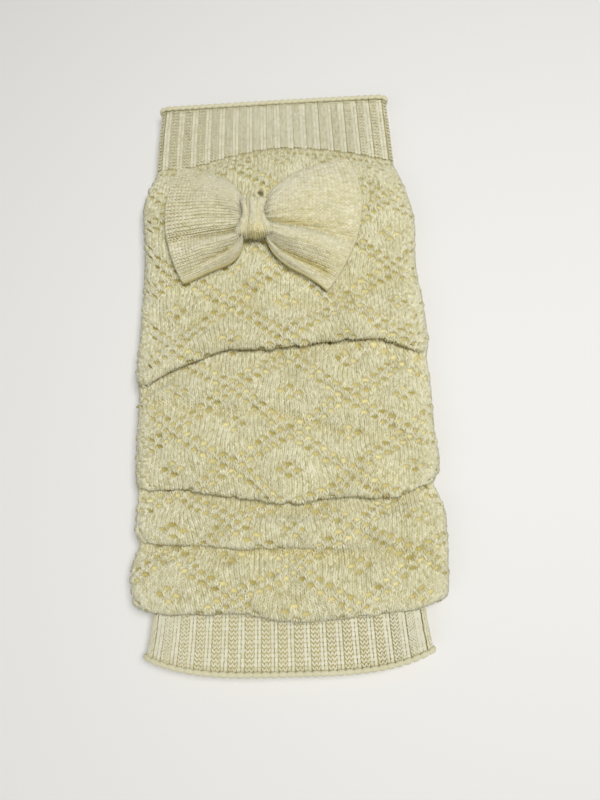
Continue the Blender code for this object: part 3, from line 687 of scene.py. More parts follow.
# the front cuff's lace body
frontCount = 74
backCount = cuffCut["wales"] - frontCount
bodyHalf = 61.3
frontTall = levels["frontBody"][2] - levels["frontBody"][1]
backTall = levels["frontBody"][1] - levels["frontBody"][0]
frontPlaces, frontArc = evenPlaces(fullRound, frontTall, bodyHalf, frontCount)
backPlaces, backArc = evenPlaces(flatRound, backTall, bodyHalf, backCount)
backPlaces = backPlaces[::-1][1:-1]
controlGrid = np.concatenate((frontPoints(frontPlaces), backPoints(backPlaces)), axis=1)
smoothGrid = smoothRows(controlGrid)
bodyGrid, bodyArc = evenRows(smoothGrid, cuffCut["courses"])


def foldCourse(name):
    # the course that lies in a fold's crease, for each wale
    steps = (len(smoothGrid) - 1) // (len(controlGrid) - 1)
    lengths = np.linalg.norm(np.diff(smoothGrid, axis=0), axis=2)
    line = np.vstack((np.zeros(lengths.shape[1]), np.cumsum(lengths, axis=0)))
    return line[foldRows[name] * steps] / line[-1] * cuffCut["courses"]


mainCourse = foldCourse("main")


clothDrift = {
    "waveWales": 0.45,  # wales sway this far between two diamonds, in wales
    "lumpWales": 0.55,
    "lumpCourses": 0.50,
    "lump": 0.35,  # soft lumps of the cloth's face, in millimetres
    "smallLump": 0.12,
    "sideFade": 0.12,
    "skewAbove": 2.0,  # courses by which the right side hangs lower, above the main fold and below it
    "skewBelow": 8.0,
    "skewFrom": 14,
    "skewOver": 50,
    "skewEase": 5.0,
}


def lumps(x, y, length, seed):
    # soft uneven field, about -1 to 1, whose bumps are about this long
    pick = np.random.default_rng(seed)
    total = np.zeros(np.broadcast(x, y).shape)
    for _ in range(7):
        angle, phase = pick.uniform(0, 2 * math.pi, 2)
        wave = 2 * math.pi / (length * pick.uniform(0.8, 1.9))
        total += np.sin((x * math.cos(angle) + y * math.sin(angle)) * wave + phase)
    return total / 3.0


def drifted(grid):
    # the same cloth with its wales and courses wandering a little, and its face uneven
    rows, columns = grid.shape[:2]
    wale, course = np.meshgrid(np.arange(columns, dtype=float), np.arange(rows, dtype=float))
    x, y = grid[..., 0], course * 1.25
    inFront = ease((frontCount / 2 - np.abs(wale - frontCount / 2)) / (frontCount * clothDrift["sideFade"]))
    inside = inFront * ease(np.minimum(course, rows - 1 - course) / 6.0)
    sway = clothDrift["waveWales"] * np.sin(2 * math.pi * (wale + laceChart["waleShift"]) / laceChart["repeat"])
    sway = sway * np.sin(2 * math.pi * (course + laceChart["courseShift"]) / laceChart["repeat"])
    waleAt = wale + inside * (sway + clothDrift["lumpWales"] * lumps(x, y, 20.0, 3))
    toRight = ease((wale - clothDrift["skewFrom"]) / clothDrift["skewOver"])
    toRight = toRight * (wale <= frontCount) + (wale > frontCount) * ease((columns - wale) / (columns - frontCount))
    under = ease((course - mainCourse + clothDrift["skewEase"]) / (2 * clothDrift["skewEase"]))
    toHem = np.clip((rows - 1 - course) / (rows - 1 - mainCourse), 0.0, 1.0)
    fromSeam = np.clip(course / 20.0, 0.0, 1.0)
    skew = mix(clothDrift["skewAbove"] * fromSeam, clothDrift["skewBelow"] * toHem, under) * toRight
    courseAt = course + skew + inside * clothDrift["lumpCourses"] * lumps(x, y, 18.0, 4)
    courseAt = np.clip(courseAt, 0, rows - 1.001)
    lowWale, lowCourse = np.floor(waleAt).astype(int), np.floor(courseAt).astype(int)
    partWale, partCourse = (waleAt - lowWale)[..., None], (courseAt - lowCourse)[..., None]
    a = grid[lowCourse, lowWale % columns] * (1 - partWale) + grid[lowCourse, (lowWale + 1) % columns] * partWale
    b = grid[lowCourse + 1, lowWale % columns] * (1 - partWale) + grid[lowCourse + 1, (lowWale + 1) % columns] * partWale
    moved = a * (1 - partCourse) + b * partCourse
    out = ringNormals(moved)
    bump = clothDrift["lump"] * lumps(x, y, 13.0, 5) + clothDrift["smallLump"] * lumps(x, y, 5.0, 6)
    return moved + out * (inside * bump)[..., None]


laceChart = {"repeat": 28, "band": 12, "flower": 2, "waleShift": 18, "courseShift": 10, "seamRow": 2, "foldJump": 12}
bodyGrid = drifted(bodyGrid)
bodyOut = ringNormals(bodyGrid)
print(f"body: {frontArc:.0f} + {backArc:.0f} mm round, cloth {bodyArc[frontCount // 2]:.0f} mm long in front")

# painted ochre shade grows in the creases, where the cloth lies under its neighbours
meanHeight = blurRows(bodyGrid[..., 2], 7)
creaseShade = np.clip((meanHeight - bodyGrid[..., 2]) / 2.2, 0.0, 1.0)
frontShare = ease((frontCount / 2 - np.abs(np.arange(bodyGrid.shape[1]) - frontCount / 2)) / (frontCount * 0.14))
lipShade = np.clip((0.55 - bodyOut[..., 2]) / 0.5, 0.0, 1.0) * frontShare  # painted shade where the cloth turns down under a fold's lip
creaseShade = np.maximum(creaseShade, lipShade)


def chartDistance(wale, course):
    # stitches to the nearest diamond's centre, the diamonds standing in half drop
    repeat = laceChart["repeat"]
    best = np.full(np.broadcast(wale, course).shape, 99.0)
    for shiftX, shiftY in ((0, 0), (repeat // 2, repeat // 2)):
        x = (wale + laceChart["waleShift"] + shiftX) % repeat
        y = (course + laceChart["courseShift"] + shiftY) % repeat
        x = np.minimum(x, repeat - x)
        y = np.minimum(y, repeat - y)
        best = np.minimum(best, x + y)
    return best


def chartParity(wale, course):
    even = (wale + laceChart["waleShift"]) % 2 == 0
    return even & ((course + laceChart["courseShift"]) % 2 == 0)


waleIndex, courseIndex = np.meshgrid(np.arange(cuffCut["wales"]), np.arange(cuffCut["courses"]))
chartCourse = courseIndex + laceChart["foldJump"] * (courseIndex < mainCourse)
toCentre = chartDistance(waleIndex, chartCourse)
isEyelet = chartParity(waleIndex, chartCourse) & ((toCentre == laceChart["band"]) | (toCentre == laceChart["flower"]))
isEyelet |= (courseIndex == laceChart["seamRow"]) & (waleIndex % 2 == 0)
isEyelet &= (courseIndex >= 1) & (courseIndex < cuffCut["courses"] - 3)


def widenPits(outer, pits, widen):
    # an eyelet's four corners move away from its middle
    after = np.roll(outer, -1, axis=1)
    middle = (outer[:-1] + after[:-1] + outer[1:] + after[1:]) / 4
    moved = outer.copy()
    columns = outer.shape[1]
    for row, column in zip(*np.nonzero(pits[:len(middle)])):
        for downStep, acrossStep in ((0, 0), (0, 1), (1, 0), (1, 1)):
            corner = (row + downStep, (column + acrossStep) % columns)
            moved[corner] = outer[corner] + (outer[corner] - middle[row, column]) * widen
    return moved


def groundShell(name, grid, out, pits, paintedShade, material, drop, wall, pitDepth, tone=-0.35):
    # closed two-sided cloth under the stitches, with a pit at every eyelet; a tone below zero paints it darker than the
    # stitches, as painted shade between them
    rows, columns = grid.shape[:2]
    outer = widenPits(grid - out * drop, pits, cuffCut["pitWiden"] * 2)
    inner = grid - out * (drop + wall)
    points = [outer.reshape(-1, 3), inner.reshape(-1, 3)]
    # painted ochre shade: a base share plus the given share on the outer face, more on the inner face inside the tube
    shaded = [np.asarray(paintedShade).ravel() * 0.5 + 0.42, np.full(rows * columns, 0.6)]
    shade = [np.full(2 * rows * columns, tone)]
    count = rows * columns
    faces = []
    extra, pitShade, extraShade = [], [], []
    for row in range(rows - 1):
        for column in range(columns):
            after = (column + 1) % columns
            a, b = row * columns + column, row * columns + after
            c, d = b + columns, a + columns
            faces.append((count + a, count + b, count + c, count + d))
            if not pits[row, column]:
                faces.append((d, c, b, a))
                continue
            ring = [outer[row, column], outer[row, after], outer[row + 1, after], outer[row + 1, column]]
            middle = sum(ring) / 4
            sink = (out[row, column] + out[row + 1, after]) / 2 * pitDepth
            base = 2 * count + len(extra)
            # each pit's floor is painted ochre shade, at random darker and deeper or lighter and shallower
            light = random.uniform()
            for corner in ring:
                extra.append(middle + (corner - middle) * 0.74 - sink * (0.55 + 0.45 * (1 - light)))
                pitShade.append(0.95 - 0.20 * light)
                extraShade.append(light * 0.95 - 0.45)
            corners = (a, b, c, d)
            for side in range(4):
                nextSide = (side + 1) % 4
                faces.append((corners[side], base + side, base + nextSide, corners[nextSide]))
            faces.append((base + 3, base + 2, base + 1, base))
    last = (rows - 1) * columns
    for column in range(columns):
        after = (column + 1) % columns
        faces.append((column, after, count + after, count + column))
        faces.append((last + after, last + column, count + last + column, count + last + after))
    if extra:
        points.append(np.array(extra))
        shaded.append(np.array(pitShade))
        shade.append(np.array(extraShade))
    points = np.vstack(points)
    points[:, 2] = np.maximum(points[:, 2], 0.0)
    mesh = newMesh(name, points, faces)
    storeFloats(mesh, "paintedShade", np.concatenate(shaded))
    storeFloats(mesh, "shade", np.concatenate(shade))
    mesh.shade_smooth()
    return addPiece(name, mesh, material)


frontLace = groundShell(
    "front_lace_ground", bodyGrid, bodyOut, isEyelet, creaseShade, laceYarn,
    cuffCut["groundDrop"], cuffCut["groundWall"], cuffCut["pitDepth"],
)
print(f"front_lace_ground: {len(frontLace.data.polygons)} faces")

laceStitch = {
    "lean": 21.0,  # degrees of a leg from its wale
    "spread": 0.215,  # a leg's place from the middle of its wale, in wales
    "length": 1.85,  # of a course
    "width": 0.45,  # of a wale
    "height": 0.80,
    "aboveLean": -14.0,  # over an eyelet the legs stand apart
    "ridge": 0.35,  # the raised ridge between two rows of eyelets
    "lift": -0.35,
    "open": 0.34,  # stitches beside an eyelet stand this far back from it
    "uneven": 0.24,  # spread of the yarn's tone from stitch to stitch
    "tone": 0.12,
}


def stitchLegs(grid, keep, paintedShade, look, relief=None, ringed=True, shift=None, leans=None):
    # two legs for each kept cell of a tube or sheet grid, whose rows run from the top down
    rows, columns = keep.shape
    after = np.roll(grid, -1, axis=1) if ringed else grid[:, 1:]
    before = grid if ringed else grid[:, :-1]
    a, b = before[:-1], after[:-1]
    d, c = before[1:], after[1:]
    centre = (a + b + c + d) / 4
    acrossWay = (b + c - a - d) / 2
    upWay = (a + b - c - d) / 2
    wale = np.linalg.norm(acrossWay, axis=-1, keepdims=True)
    course = np.linalg.norm(upWay, axis=-1, keepdims=True)
    acrossUnit, upUnit = unit(acrossWay), unit(upWay)
    out = unit(np.cross(acrossUnit, upUnit))
    if shift is not None:
        centre = centre + acrossWay * shift[0][..., None] + upWay * shift[1][..., None]
    lift = look["lift"] + (0.0 if relief is None else relief)
    centre = centre + out * np.asarray(lift)[..., None] if np.ndim(lift) else centre + out * lift
    lean = np.full(keep.shape, look["lean"]) if leans is None else leans
    lean = np.radians(lean)[..., None]
    parts = []
    for side in (-1.0, 1.0):
        at = centre + acrossUnit * wale * look["spread"] * side
        way = upUnit * np.cos(lean) + acrossUnit * np.sin(lean) * side
        size = np.concatenate((wale * look["width"], course * look["length"], wale * look["height"]), axis=-1)
        shade = random.normal(0.0, look["uneven"], keep.sum()) + look["tone"]
        parts.append({
            "at": at[keep], "out": out[keep], "way": way[keep], "size": size[keep],
            "paintedShade": np.asarray(paintedShade)[keep], "shade": shade,
        })
    return joinLegs(*parts)


# legs on what can be seen: the front and round the side folds
shown = np.zeros_like(isEyelet)
shown[:, :frontCount] = True
shown[:, frontCount:frontCount + 5] = True
shown[:, -5:] = True
ridge = laceStitch["ridge"] * np.exp(-((toCentre - 14.0) / 1.3) ** 2) - 0.15 * np.exp(-((toCentre - 12.0) / 0.8) ** 2)
nearEyelet = isEyelet | np.roll(isEyelet, 1, axis=0) | np.roll(isEyelet, -1, axis=0)
openAcross = np.roll(isEyelet, 1, axis=1).astype(float) - np.roll(isEyelet, -1, axis=1)
openUp = np.roll(isEyelet, -1, axis=0).astype(float) - np.roll(isEyelet, 1, axis=0)
openShift = (laceStitch["open"] * openAcross, laceStitch["open"] * openUp)
cellLean = np.where(np.roll(isEyelet, -1, axis=0), laceStitch["aboveLean"], laceStitch["lean"])
# stitches in creases and beside eyelets carry painted ochre shade
cellShade = np.clip(creaseShade[:-1] * 0.85 + 0.12 * nearEyelet, 0.0, 0.9)
cutRows = {"upper": (0, 68), "middle": (68, 134), "lower": (134, cuffCut["courses"])}
laceStitches = []
for part, (first, last) in cutRows.items():
    keep = shown & ~isEyelet & (courseIndex >= first) & (courseIndex < last)
    legs = stitchLegs(bodyGrid, keep, cellShade, laceStitch, ridge, shift=openShift, leans=cellLean)
    laceStitches.append(knitPiece(f"front_lace_stitches_{part}", legs, laceYarn))


# the ribs: two raised wales of V stitches, then two smooth sunk strands
ribLook = {
    "repeats": 35,
    "depth": 0.42,
    "course": 1.56,
    "wale": 1.54,
    "columns": 8,  # ground columns in a repeat
    "drop": 0.5,
    "wall": 0.9,
    "groundTone": 0.0,
    "vLean": 33.0,
    "vPlaces": (0.165, 0.405),
    "vSpread": 0.066,
    "vSize": (0.45, 1.35, 0.70),  # width and height in wales, length in courses
    "vTone": (0.16, 0.40),  # share of painted ochre shade, and tone
    "strandPlaces": (0.655, 0.875),
    "strandSize": (0.92, 1.4, 0.56),
    "strandTone": (0.04, 0.42),
    "edgeShare": 0.86,  # from here to the edge the yarn is painted greyer, as shade of the edge's curl
    "edgeShade": -0.22,
    "loops": 70,
    "loopPlace": 0.974,
    "loopWidth": (1.0, 1.6),  # of the edge's loops, between two and in the middle
    "loopHeight": (1.1, 2.4),
    "loopPoints": 8,
    "loopTone": 0.05,
}


def tubeLoop(half, tall, count=400):
    # outline of a flattened tube with round sides, starting at the left: x share, z share and place round
    flat = cuffCut["ribFlatShare"]
    angle = np.linspace(0.0, math.pi / 2, count)
    quarterX = np.concatenate((flat + (1 - flat) * np.cos(angle), [0.0]))
    quarterZ = np.concatenate((np.sin(angle), [1.0]))
    loopX = np.concatenate((-quarterX, quarterX[-2::-1], quarterX[1:], -quarterX[-2:0:-1]))
    loopZ = np.concatenate((quarterZ, quarterZ[-2::-1], -quarterZ[1:], -quarterZ[-2:0:-1]))
    steps = np.hypot(np.diff(loopX, append=loopX[0]) * half, np.diff(loopZ, append=loopZ[0]) * tall)
    along = np.concatenate(([0.0], np.cumsum(steps)))
    return np.append(loopX, loopX[0]), np.append(loopZ, loopZ[0]), along / along[-1]


def ribHeight(phase):
    # 1 on the raised wales, 0 on the sunk ones
    return ease((0.5 - np.abs((phase - 0.285 + 0.5) % 1.0 - 0.5) * 1.0 - 0.16) / 0.12)


def ribSurface(around, down, band, level, seam, edge, depth=ribLook["depth"]):
    # points of a rib band at places round (0 to 1) and down from its seam (0 to 1)
    low, side, high = levels[level]
    tall = high - side
    loopX, loopZ, along = tubeLoop(ribBands["bottom"][0][1], tall)
    x = np.interp(around % 1.0, along, loopX)
    z = np.interp(around % 1.0, along, loopZ)
    shares = [row[0] for row in ribBands[band]]
    left = np.interp(down, shares, [row[1] for row in ribBands[band]])
    right = np.interp(down, shares, [row[2] for row in ribBands[band]])
    half = np.where(x < 0, left, right)
    sink = depth * (1 - ribHeight(around * ribLook["repeats"] % 1.0))
    flat = cuffCut["ribFlatShare"]
    sideShare = np.clip((np.abs(x) - flat) / (1 - flat), 0.0, 1.0)
    y = seam(x) + (edge(x) - seam(x)) * down
    outX = x * half - np.sign(x) * sink * sideShare
    outZ = side + z * (tall - sink * (1 - sideShare**2))
    return np.stack((outX, y, outZ), axis=-1)


def ribGrid(band, level, seam, edge, length):
    columns = ribLook["repeats"] * ribLook["columns"]
    rows = max(6, round(length / 3))
    around, down = np.meshgrid(np.arange(columns) / columns, np.linspace(0, 1, rows + 1))
    return ribSurface(around, down, band, level, seam, edge)


def ribPlaceOf(band, level, seam, edge, flip, depth=ribLook["depth"]):
    # gives point, sideways, up and outward directions of a rib band's surface
    small = 1e-3

    def place(around, downs):
        at = ribSurface(around, downs, band, level, seam, edge, depth)
        sideways = unit(ribSurface(around + small * 0.3, downs, band, level, seam, edge, depth) - at)
        toSeam = unit(at - ribSurface(around, downs + small, band, level, seam, edge, depth))
        out = unit(np.cross(sideways, toSeam)) * (-1.0 if flip else 1.0)
        return at, sideways, toSeam if flip else -toSeam, out

    return place


def ribLegs(band, level, seam, edge, length, flip, shares):
    # V legs and strands of one rib band, over the shares of the way round that are given
    courses = round(length / ribLook["course"])
    place = ribPlaceOf(band, level, seam, edge, flip)
    parts = []
    repeats = np.arange(ribLook["repeats"])
    middles = (repeats + 0.5) / ribLook["repeats"]
    wanted = np.zeros(len(repeats), bool)
    for first, last in shares:
        wanted |= (middles >= first) & (middles <= last)
    repeats = repeats[wanted]
    lean = math.radians(ribLook["vLean"])
    chosen, course = np.meshgrid(repeats, np.arange(courses))
    chosen, course = chosen.ravel(), course.ravel()
    downs = (course + 0.5) / courses
    # painted shade of the edge's curl, growing towards the edge
    edgeCurlShade = ribLook["edgeShade"] * ease((downs - ribLook["edgeShare"]) / 0.06)

    def addLegs(phase, side, leanBy, sizes, tone):
        at, sideways, up, out = place((chosen + phase) / ribLook["repeats"], downs)
        way = up * math.cos(leanBy) + sideways * math.sin(leanBy) * side
        size = np.tile((ribLook["wale"] * sizes[0], ribLook["course"] * sizes[1], ribLook["wale"] * sizes[2]), (len(at), 1))
        parts.append(legPart(at - out * 0.32, out, way, size, tone[0], tone[1] + edgeCurlShade))

    for phase in ribLook["vPlaces"]:
        for side in (-1.0, 1.0):
            addLegs(phase + side * ribLook["vSpread"], side, lean, ribLook["vSize"], ribLook["vTone"])
    for phase in ribLook["strandPlaces"]:
        addLegs(phase, 1.0, 0.10, ribLook["strandSize"], ribLook["strandTone"])
    return joinLegs(*parts)


def edgeLoops(name, band, level, seam, edge, flip):
    # the scalloped cast-on edge: one closed rope that swells at every loop
    count = ribLook["loops"] * ribLook["loopPoints"]
    around = np.arange(count) / count
    at, _, _, out = ribPlaceOf(band, level, seam, edge, flip, 0.0)(around, np.full(count, ribLook["loopPlace"]))
    full = np.abs(np.sin(np.pi * around * ribLook["loops"])) ** 0.55
    uneven = 1.0 + random.normal(0.0, 0.05, count)
    width = (ribLook["loopWidth"][0] + (ribLook["loopWidth"][1] - ribLook["loopWidth"][0]) * full) * uneven
    height = (ribLook["loopHeight"][0] + (ribLook["loopHeight"][1] - ribLook["loopHeight"][0]) * full) * uneven
    return ropeAlong(name, at - out * 1.05, width, height, 8, ribYarn, 0.0, ribLook["loopTone"], axis=(0.0, 1.0, 0.0))


def legPart(at, out, way, size, paintedShade, shade):
    count = len(at)
    return {
        "at": at, "out": out, "way": way, "size": size, "paintedShade": np.full(count, paintedShade),
        "shade": random.normal(0.0, 0.10, count) + shade,
    }


def topSeamLine(x):
    return across(cuffCut["topSeam"], x) + cuffCut["seamGap"] / 2


def topEdgeLine(x):
    return np.full_like(x, cuffCut["end"] - 0.6)


def bottomSeamLine(x):
    return across(cuffCut["bottomSeam"], x) - cuffCut["seamGap"] / 2


def bottomEdgeLine(x):
    lift = cuffCut["bottomEdgeLift"] * np.abs(x) ** cuffCut["bottomEdgePower"]
    return -cuffCut["end"] + 0.6 + lift


def ropeAlong(name, line, width, height, sides, material, paintedShade, shade, axis=(0.0, 0.0, 1.0)):
    # a closed rope of yarn through a closed line of points; its height lies along the axis
    line = np.asarray(line)
    ahead = unit(np.roll(line, -1, axis=0) - np.roll(line, 1, axis=0))
    up = np.tile(np.asarray(axis, float), (len(line), 1))
    sideways = unit(np.cross(up, ahead))
    width = np.broadcast_to(width, len(line))[:, None]
    height = np.broadcast_to(height, len(line))[:, None]
    rings = []
    for angle in np.linspace(0, 2 * math.pi, sides, endpoint=False):
        rings.append(line + sideways * math.cos(angle) * width / 2 + up * math.sin(angle) * height / 2)
    points = np.stack(rings, axis=1).reshape(-1, 3)
    points[:, 2] = np.maximum(points[:, 2], 0.0)
    faces = []
    for index in range(len(line)):
        following = (index + 1) % len(line)
        for side in range(sides):
            after = (side + 1) % sides
            faces.append((index * sides + side, index * sides + after, following * sides + after, following * sides + side))
    if volumeOf(points, faces) < 0:
        faces = [face[::-1] for face in faces]
    mesh = newMesh(name, points, faces)
    storeFloats(mesh, "paintedShade", np.repeat(np.broadcast_to(paintedShade, len(line)), sides))
    storeFloats(mesh, "shade", np.full(len(points), shade))
    mesh.shade_smooth()
    return addPiece(name, mesh, material)


def ribPieces(name, band, level, seam, edge, length, flip, shares):
    grid = ribGrid(band, level, seam, edge, length)
    if flip:
        grid = grid[::-1]
    out = ringNormals(grid[::-1])[::-1] if not flip else ringNormals(grid)
    out = fixOut(grid, out)
    noPits = np.zeros((len(grid), grid.shape[1]), bool)
    phase = np.arange(grid.shape[1]) / ribLook["columns"] % 1.0
    # painted ochre shade on the ground under the stitches, more under the raised wales
    paintedShade = np.tile(0.3 - 0.5 * (1 - ribHeight(phase)), (len(grid), 1))
    ground = groundShell(
        name + "_ground", grid, out, noPits, paintedShade, ribYarn, ribLook["drop"], ribLook["wall"], 0.0, ribLook["groundTone"])
    stitches = knitPiece(name + "_stitches", ribLegs(band, level, seam, edge, length, flip, shares), ribYarn)
    return ground, [stitches, edgeLoops(name + "_edge", band, level, seam, edge, flip)]


def fixOut(grid, out):
    # the normals, turned away from the tube's middle
    middle = grid.mean(axis=1, keepdims=True)
    inward = ((grid - middle) * out).sum(axis=-1).mean() < 0
    return -out if inward else out


topRib, topRibStitches = ribPieces(
    "front_top_rib", "top", "frontRib", topSeamLine, topEdgeLine, 31.0, False, ((0.0, 0.56), (0.94, 1.0)))
bottomRib, bottomRibStitches = ribPieces(
    "front_bottom_rib", "bottom", "frontRib", bottomSeamLine, bottomEdgeLine, 26.0, True, ((0.0, 0.56), (0.94, 1.0)))


# the bow: a doubled strip, pinched by a gathered band
bowLook = {
    "x": -10.1,
    "y": 59.5,
    "pinch": (5.2, 6.6, 5.2, -6.6, 0.0, 3.0, 4.4),
    "rest": 13.4,  # the wings lie no lower than this
    "edgeBody": 3.2,
    "wales": 36,  # from the lower edge of a wing to its top
    "courses": 32,  # from the pinch to a wing's end
    "drop": 0.55,
    "rimWidth": 1.0,
    "rimHeight": 2.2,
    # folds out from the pinch: place across at the pinch and at the end, height, width
    "leftPleats": (
        (0.35, 0.30, 1.0, 0.22), (-0.36, -0.34, -2.4, 0.085), (-0.52, -0.68, 1.3, 0.13), (-0.62, -0.97, -1.7, 0.065),
        (0.12, 0.02, 0.5, 0.07), (0.62, 0.66, 0.4, 0.07), (-0.16, -0.14, 0.5, 0.08),
    ),
    "rightPleats": (
        (0.40, 0.45, 0.8, 0.24), (-0.04, -0.32, -1.5, 0.09), (-0.42, -0.56, 1.9, 0.15), (-0.77, -0.86, -2.0, 0.07),
        (0.16, 0.12, 0.5, 0.07), (0.66, 0.70, 0.4, 0.07), (-0.28, -0.44, 0.4, 0.06),
    ),
    "gathers": 8,  # small pleats that leave the pinch
    "gatherHeight": 0.75,
    "gatherLength": 0.24,
}

# each wing from the pinch out: top x, top y, low x, low y, bulge, lift, body
bowWings = {
    "left": (
        (-6.6, 13.2, -6.4, -13.4, 0.0, 1.5, 5.2),
        (-10.4, 18.8, -10.0, -17.8, 0.5, 1.2, 5.4),
        (-15.6, 22.6, -15.6, -20.4, 1.2, 0.9, 5.4),
        (-21.6, 25.2, -21.0, -22.4, 2.4, 0.7, 4.9),
        (-27.8, 27.8, -26.4, -24.6, 4.2, 0.6, 4.2),
        (-34.2, 30.2, -31.6, -26.4, 6.8, 0.5, 3.4),
    ),
    "right": (
        (6.8, 12.2, 6.4, -12.6, 0.0, 1.5, 5.2),
        (12.0, 18.4, 10.2, -17.8, 0.6, 1.2, 5.4),
        (18.8, 23.2, 15.2, -21.8, 1.6, 0.9, 5.5),
        (26.4, 26.4, 20.6, -25.2, 3.4, 0.7, 5.0),
        (34.2, 28.6, 25.6, -28.8, 6.2, 0.6, 4.3),
        (42.0, 29.8, 30.2, -33.0, 9.6, 0.5, 3.4),
    ),
}

clothFaces = []
for row in range(len(bodyGrid) - 1):
    for column in range(frontCount):
        a = row * bodyGrid.shape[1] + column
        clothFaces.append((a + bodyGrid.shape[1], a + bodyGrid.shape[1] + 1, a + 1, a))
clothTree = BVHTree.FromPolygons((bodyGrid.reshape(-1, 3)).tolist(), clothFaces)


def clothHeight(x, y):
    # height of the front cuff's cloth under a place, in millimetres
    hit = clothTree.ray_cast(Vector((x, y, 60.0)), Vector((0, 0, -1)))[0]
    return hit.z if hit else levels["frontBody"][1]


def smoothTable(rows, share):
    # cubic through evenly spaced rows of numbers, share from 0 to 1
    rows = np.asarray(rows, float)
    place = np.clip(share * (len(rows) - 1), 0, len(rows) - 1.000001)
    at = int(place)
    part = place - at
    before, after = rows[max(at - 1, 0)], rows[min(at + 2, len(rows) - 1)]
    here, nextRow = rows[at], rows[at + 1]
    slopeHere, slopeNext = (nextRow - before) / 2, (after - here) / 2
    rise = part * part * (3 - 2 * part)
    return (here * (1 - rise) + nextRow * rise
            + part * (1 - part) ** 2 * slopeHere + part * part * (part - 1) * slopeNext)


def pleatHeight(pleats, place, share):
    total = 0.0
    for start, end, height, width in pleats:
        total += height * math.exp(-(((place - start - (end - start) * share) / width) ** 2))
    gather = math.cos(math.pi * bowLook["gathers"] * place + 0.6) * math.exp(-((share / bowLook["gatherLength"]) ** 2))
    return total * math.sin(math.pi * (0.12 + 0.76 * share)) + bowLook["gatherHeight"] * gather


def bowSection(side, share, places):
    # front and back points of the strip at one share from the pinch (0) to the wing's end (1)
    sign = -1.0 if side == "left" else 1.0
    pinch = list(bowLook["pinch"])
    pinch[0] *= sign
    pinch[2] *= sign
    topX, topY, lowX, lowY, bulge, lift, body = smoothTable([pinch, *bowWings[side]], share)
    pleats = bowLook[side + "Pleats"]
    centreBase = clothHeight(bowLook["x"], bowLook["y"])
    front, back = [], []
    for place in places:
        up = (place + 1) / 2
        swing = sign * bulge * (1 - place * place)
        x = bowLook["x"] + lowX + (topX - lowX) * up + swing
        y = bowLook["y"] + lowY + (topY - lowY) * up
        base = max(clothHeight(x, y), bowLook["rest"])
        low = mix(centreBase, base, min(share * 6, 1.0)) + lift
        full = max(1 - abs(place) ** 3, 0.0) ** 0.5
        thick = bowLook["edgeBody"] + (body - bowLook["edgeBody"] + pleatHeight(pleats, place, share)) * full
        back.append((x, y, low))
        front.append((x, y, low + max(thick, 1.6)))
    return front, back


def bowStrip():
    # grids of the whole strip, from the left wing's end to the right wing's
    places = -np.cos(np.linspace(0, math.pi, bowLook["wales"] + 1)) * 0.35
    places = places + np.linspace(-1, 1, bowLook["wales"] + 1) * 0.65
    front, back = [], []
    shares = np.linspace(0, 1, bowLook["courses"] + 1)
    for side, order in (("left", shares[::-1]), ("right", shares)):
        for share in order:
            frontRow, backRow = bowSection(side, share, places)
            front.append(frontRow)
            back.append(backRow)
    return np.array(front), np.array(back)


bowFront, bowBack = bowStrip()
# painted ochre shade gathers where the strip dips between its folds, fading towards the wings' ends except on the
# lowest folds
bowSoft = np.apply_along_axis(lambda line: np.convolve(np.pad(line, 4, mode="edge"), np.full(9, 1 / 9), mode="valid"), 1, bowFront[..., 2])
bowCreaseShade = np.clip((bowSoft - bowFront[..., 2] - 0.35) / 0.8, 0.0, 1.0)
outShare = np.abs(np.linspace(-1, 1, len(bowFront)))[:, None]  # 0 at the pinch, 1 at the wings' ends
upShare = ease((np.linspace(-1, 1, bowFront.shape[1]) + 0.62) / 0.2)  # 0 on the lowest folds
bowCreaseShade = bowCreaseShade * (1 - ease((outShare - 0.3) / 0.6) * 0.8 * upShare) * (1 - 0.25 * upShare)


def sheetNormals(grid):
    down = np.gradient(grid, axis=0)
    along = np.gradient(grid, axis=1)
    out = unit(np.cross(down, along))
    return out if out[..., 2].mean() > 0 else -out


def bowGround():
    # closed strip: front, back and the rim between them
    rows, columns = bowFront.shape[:2]
    out = sheetNormals(bowFront)
    top = bowFront - out * bowLook["drop"]
    count = rows * columns
    points = np.vstack((top.reshape(-1, 3), bowBack.reshape(-1, 3)))
    faces = []
    for row in range(rows - 1):
        for column in range(columns - 1):
            a = row * columns + column
            faces.append((a, a + columns, a + columns + 1, a + 1))
            faces.append((count + a + 1, count + a + columns + 1, count + a + columns, count + a))
    rim = [(0, c) for c in range(columns)] + [(r, columns - 1) for r in range(1, rows)]
    rim += [(rows - 1, c) for c in range(columns - 2, -1, -1)] + [(r, 0) for r in range(rows - 2, 0, -1)]
    rimAt = [r * columns + c for r, c in rim]
    for here, following in zip(rimAt, rimAt[1:] + rimAt[:1]):
        faces.append((here, following, count + following, count + here))
    if volumeOf(points, faces) < 0:
        faces = [face[::-1] for face in faces]
    mesh = newMesh("bow_ground", points, faces)
    # painted ochre shade and a darker tone in the folds' dips; the back face gets a fixed painted shade
    storeFloats(mesh, "paintedShade", np.concatenate((bowCreaseShade.ravel() * 0.6 + 0.22, np.full(count, 0.5))))
    storeFloats(mesh, "shade", np.concatenate((-0.3 - bowCreaseShade.ravel() * 0.35, np.full(count, -0.1))))
    mesh.shade_smooth()
    return addPiece("bow_ground", mesh, bowYarn), rim


bowCloth, bowRim = bowGround()
bowStitch = {
    "lean": 19.0, "spread": 0.205, "length": 1.5, "width": 0.41, "height": 0.74, "lift": -0.26, "leastWale": 0.62,
    "uneven": 0.2, "tone": 0.14,
}


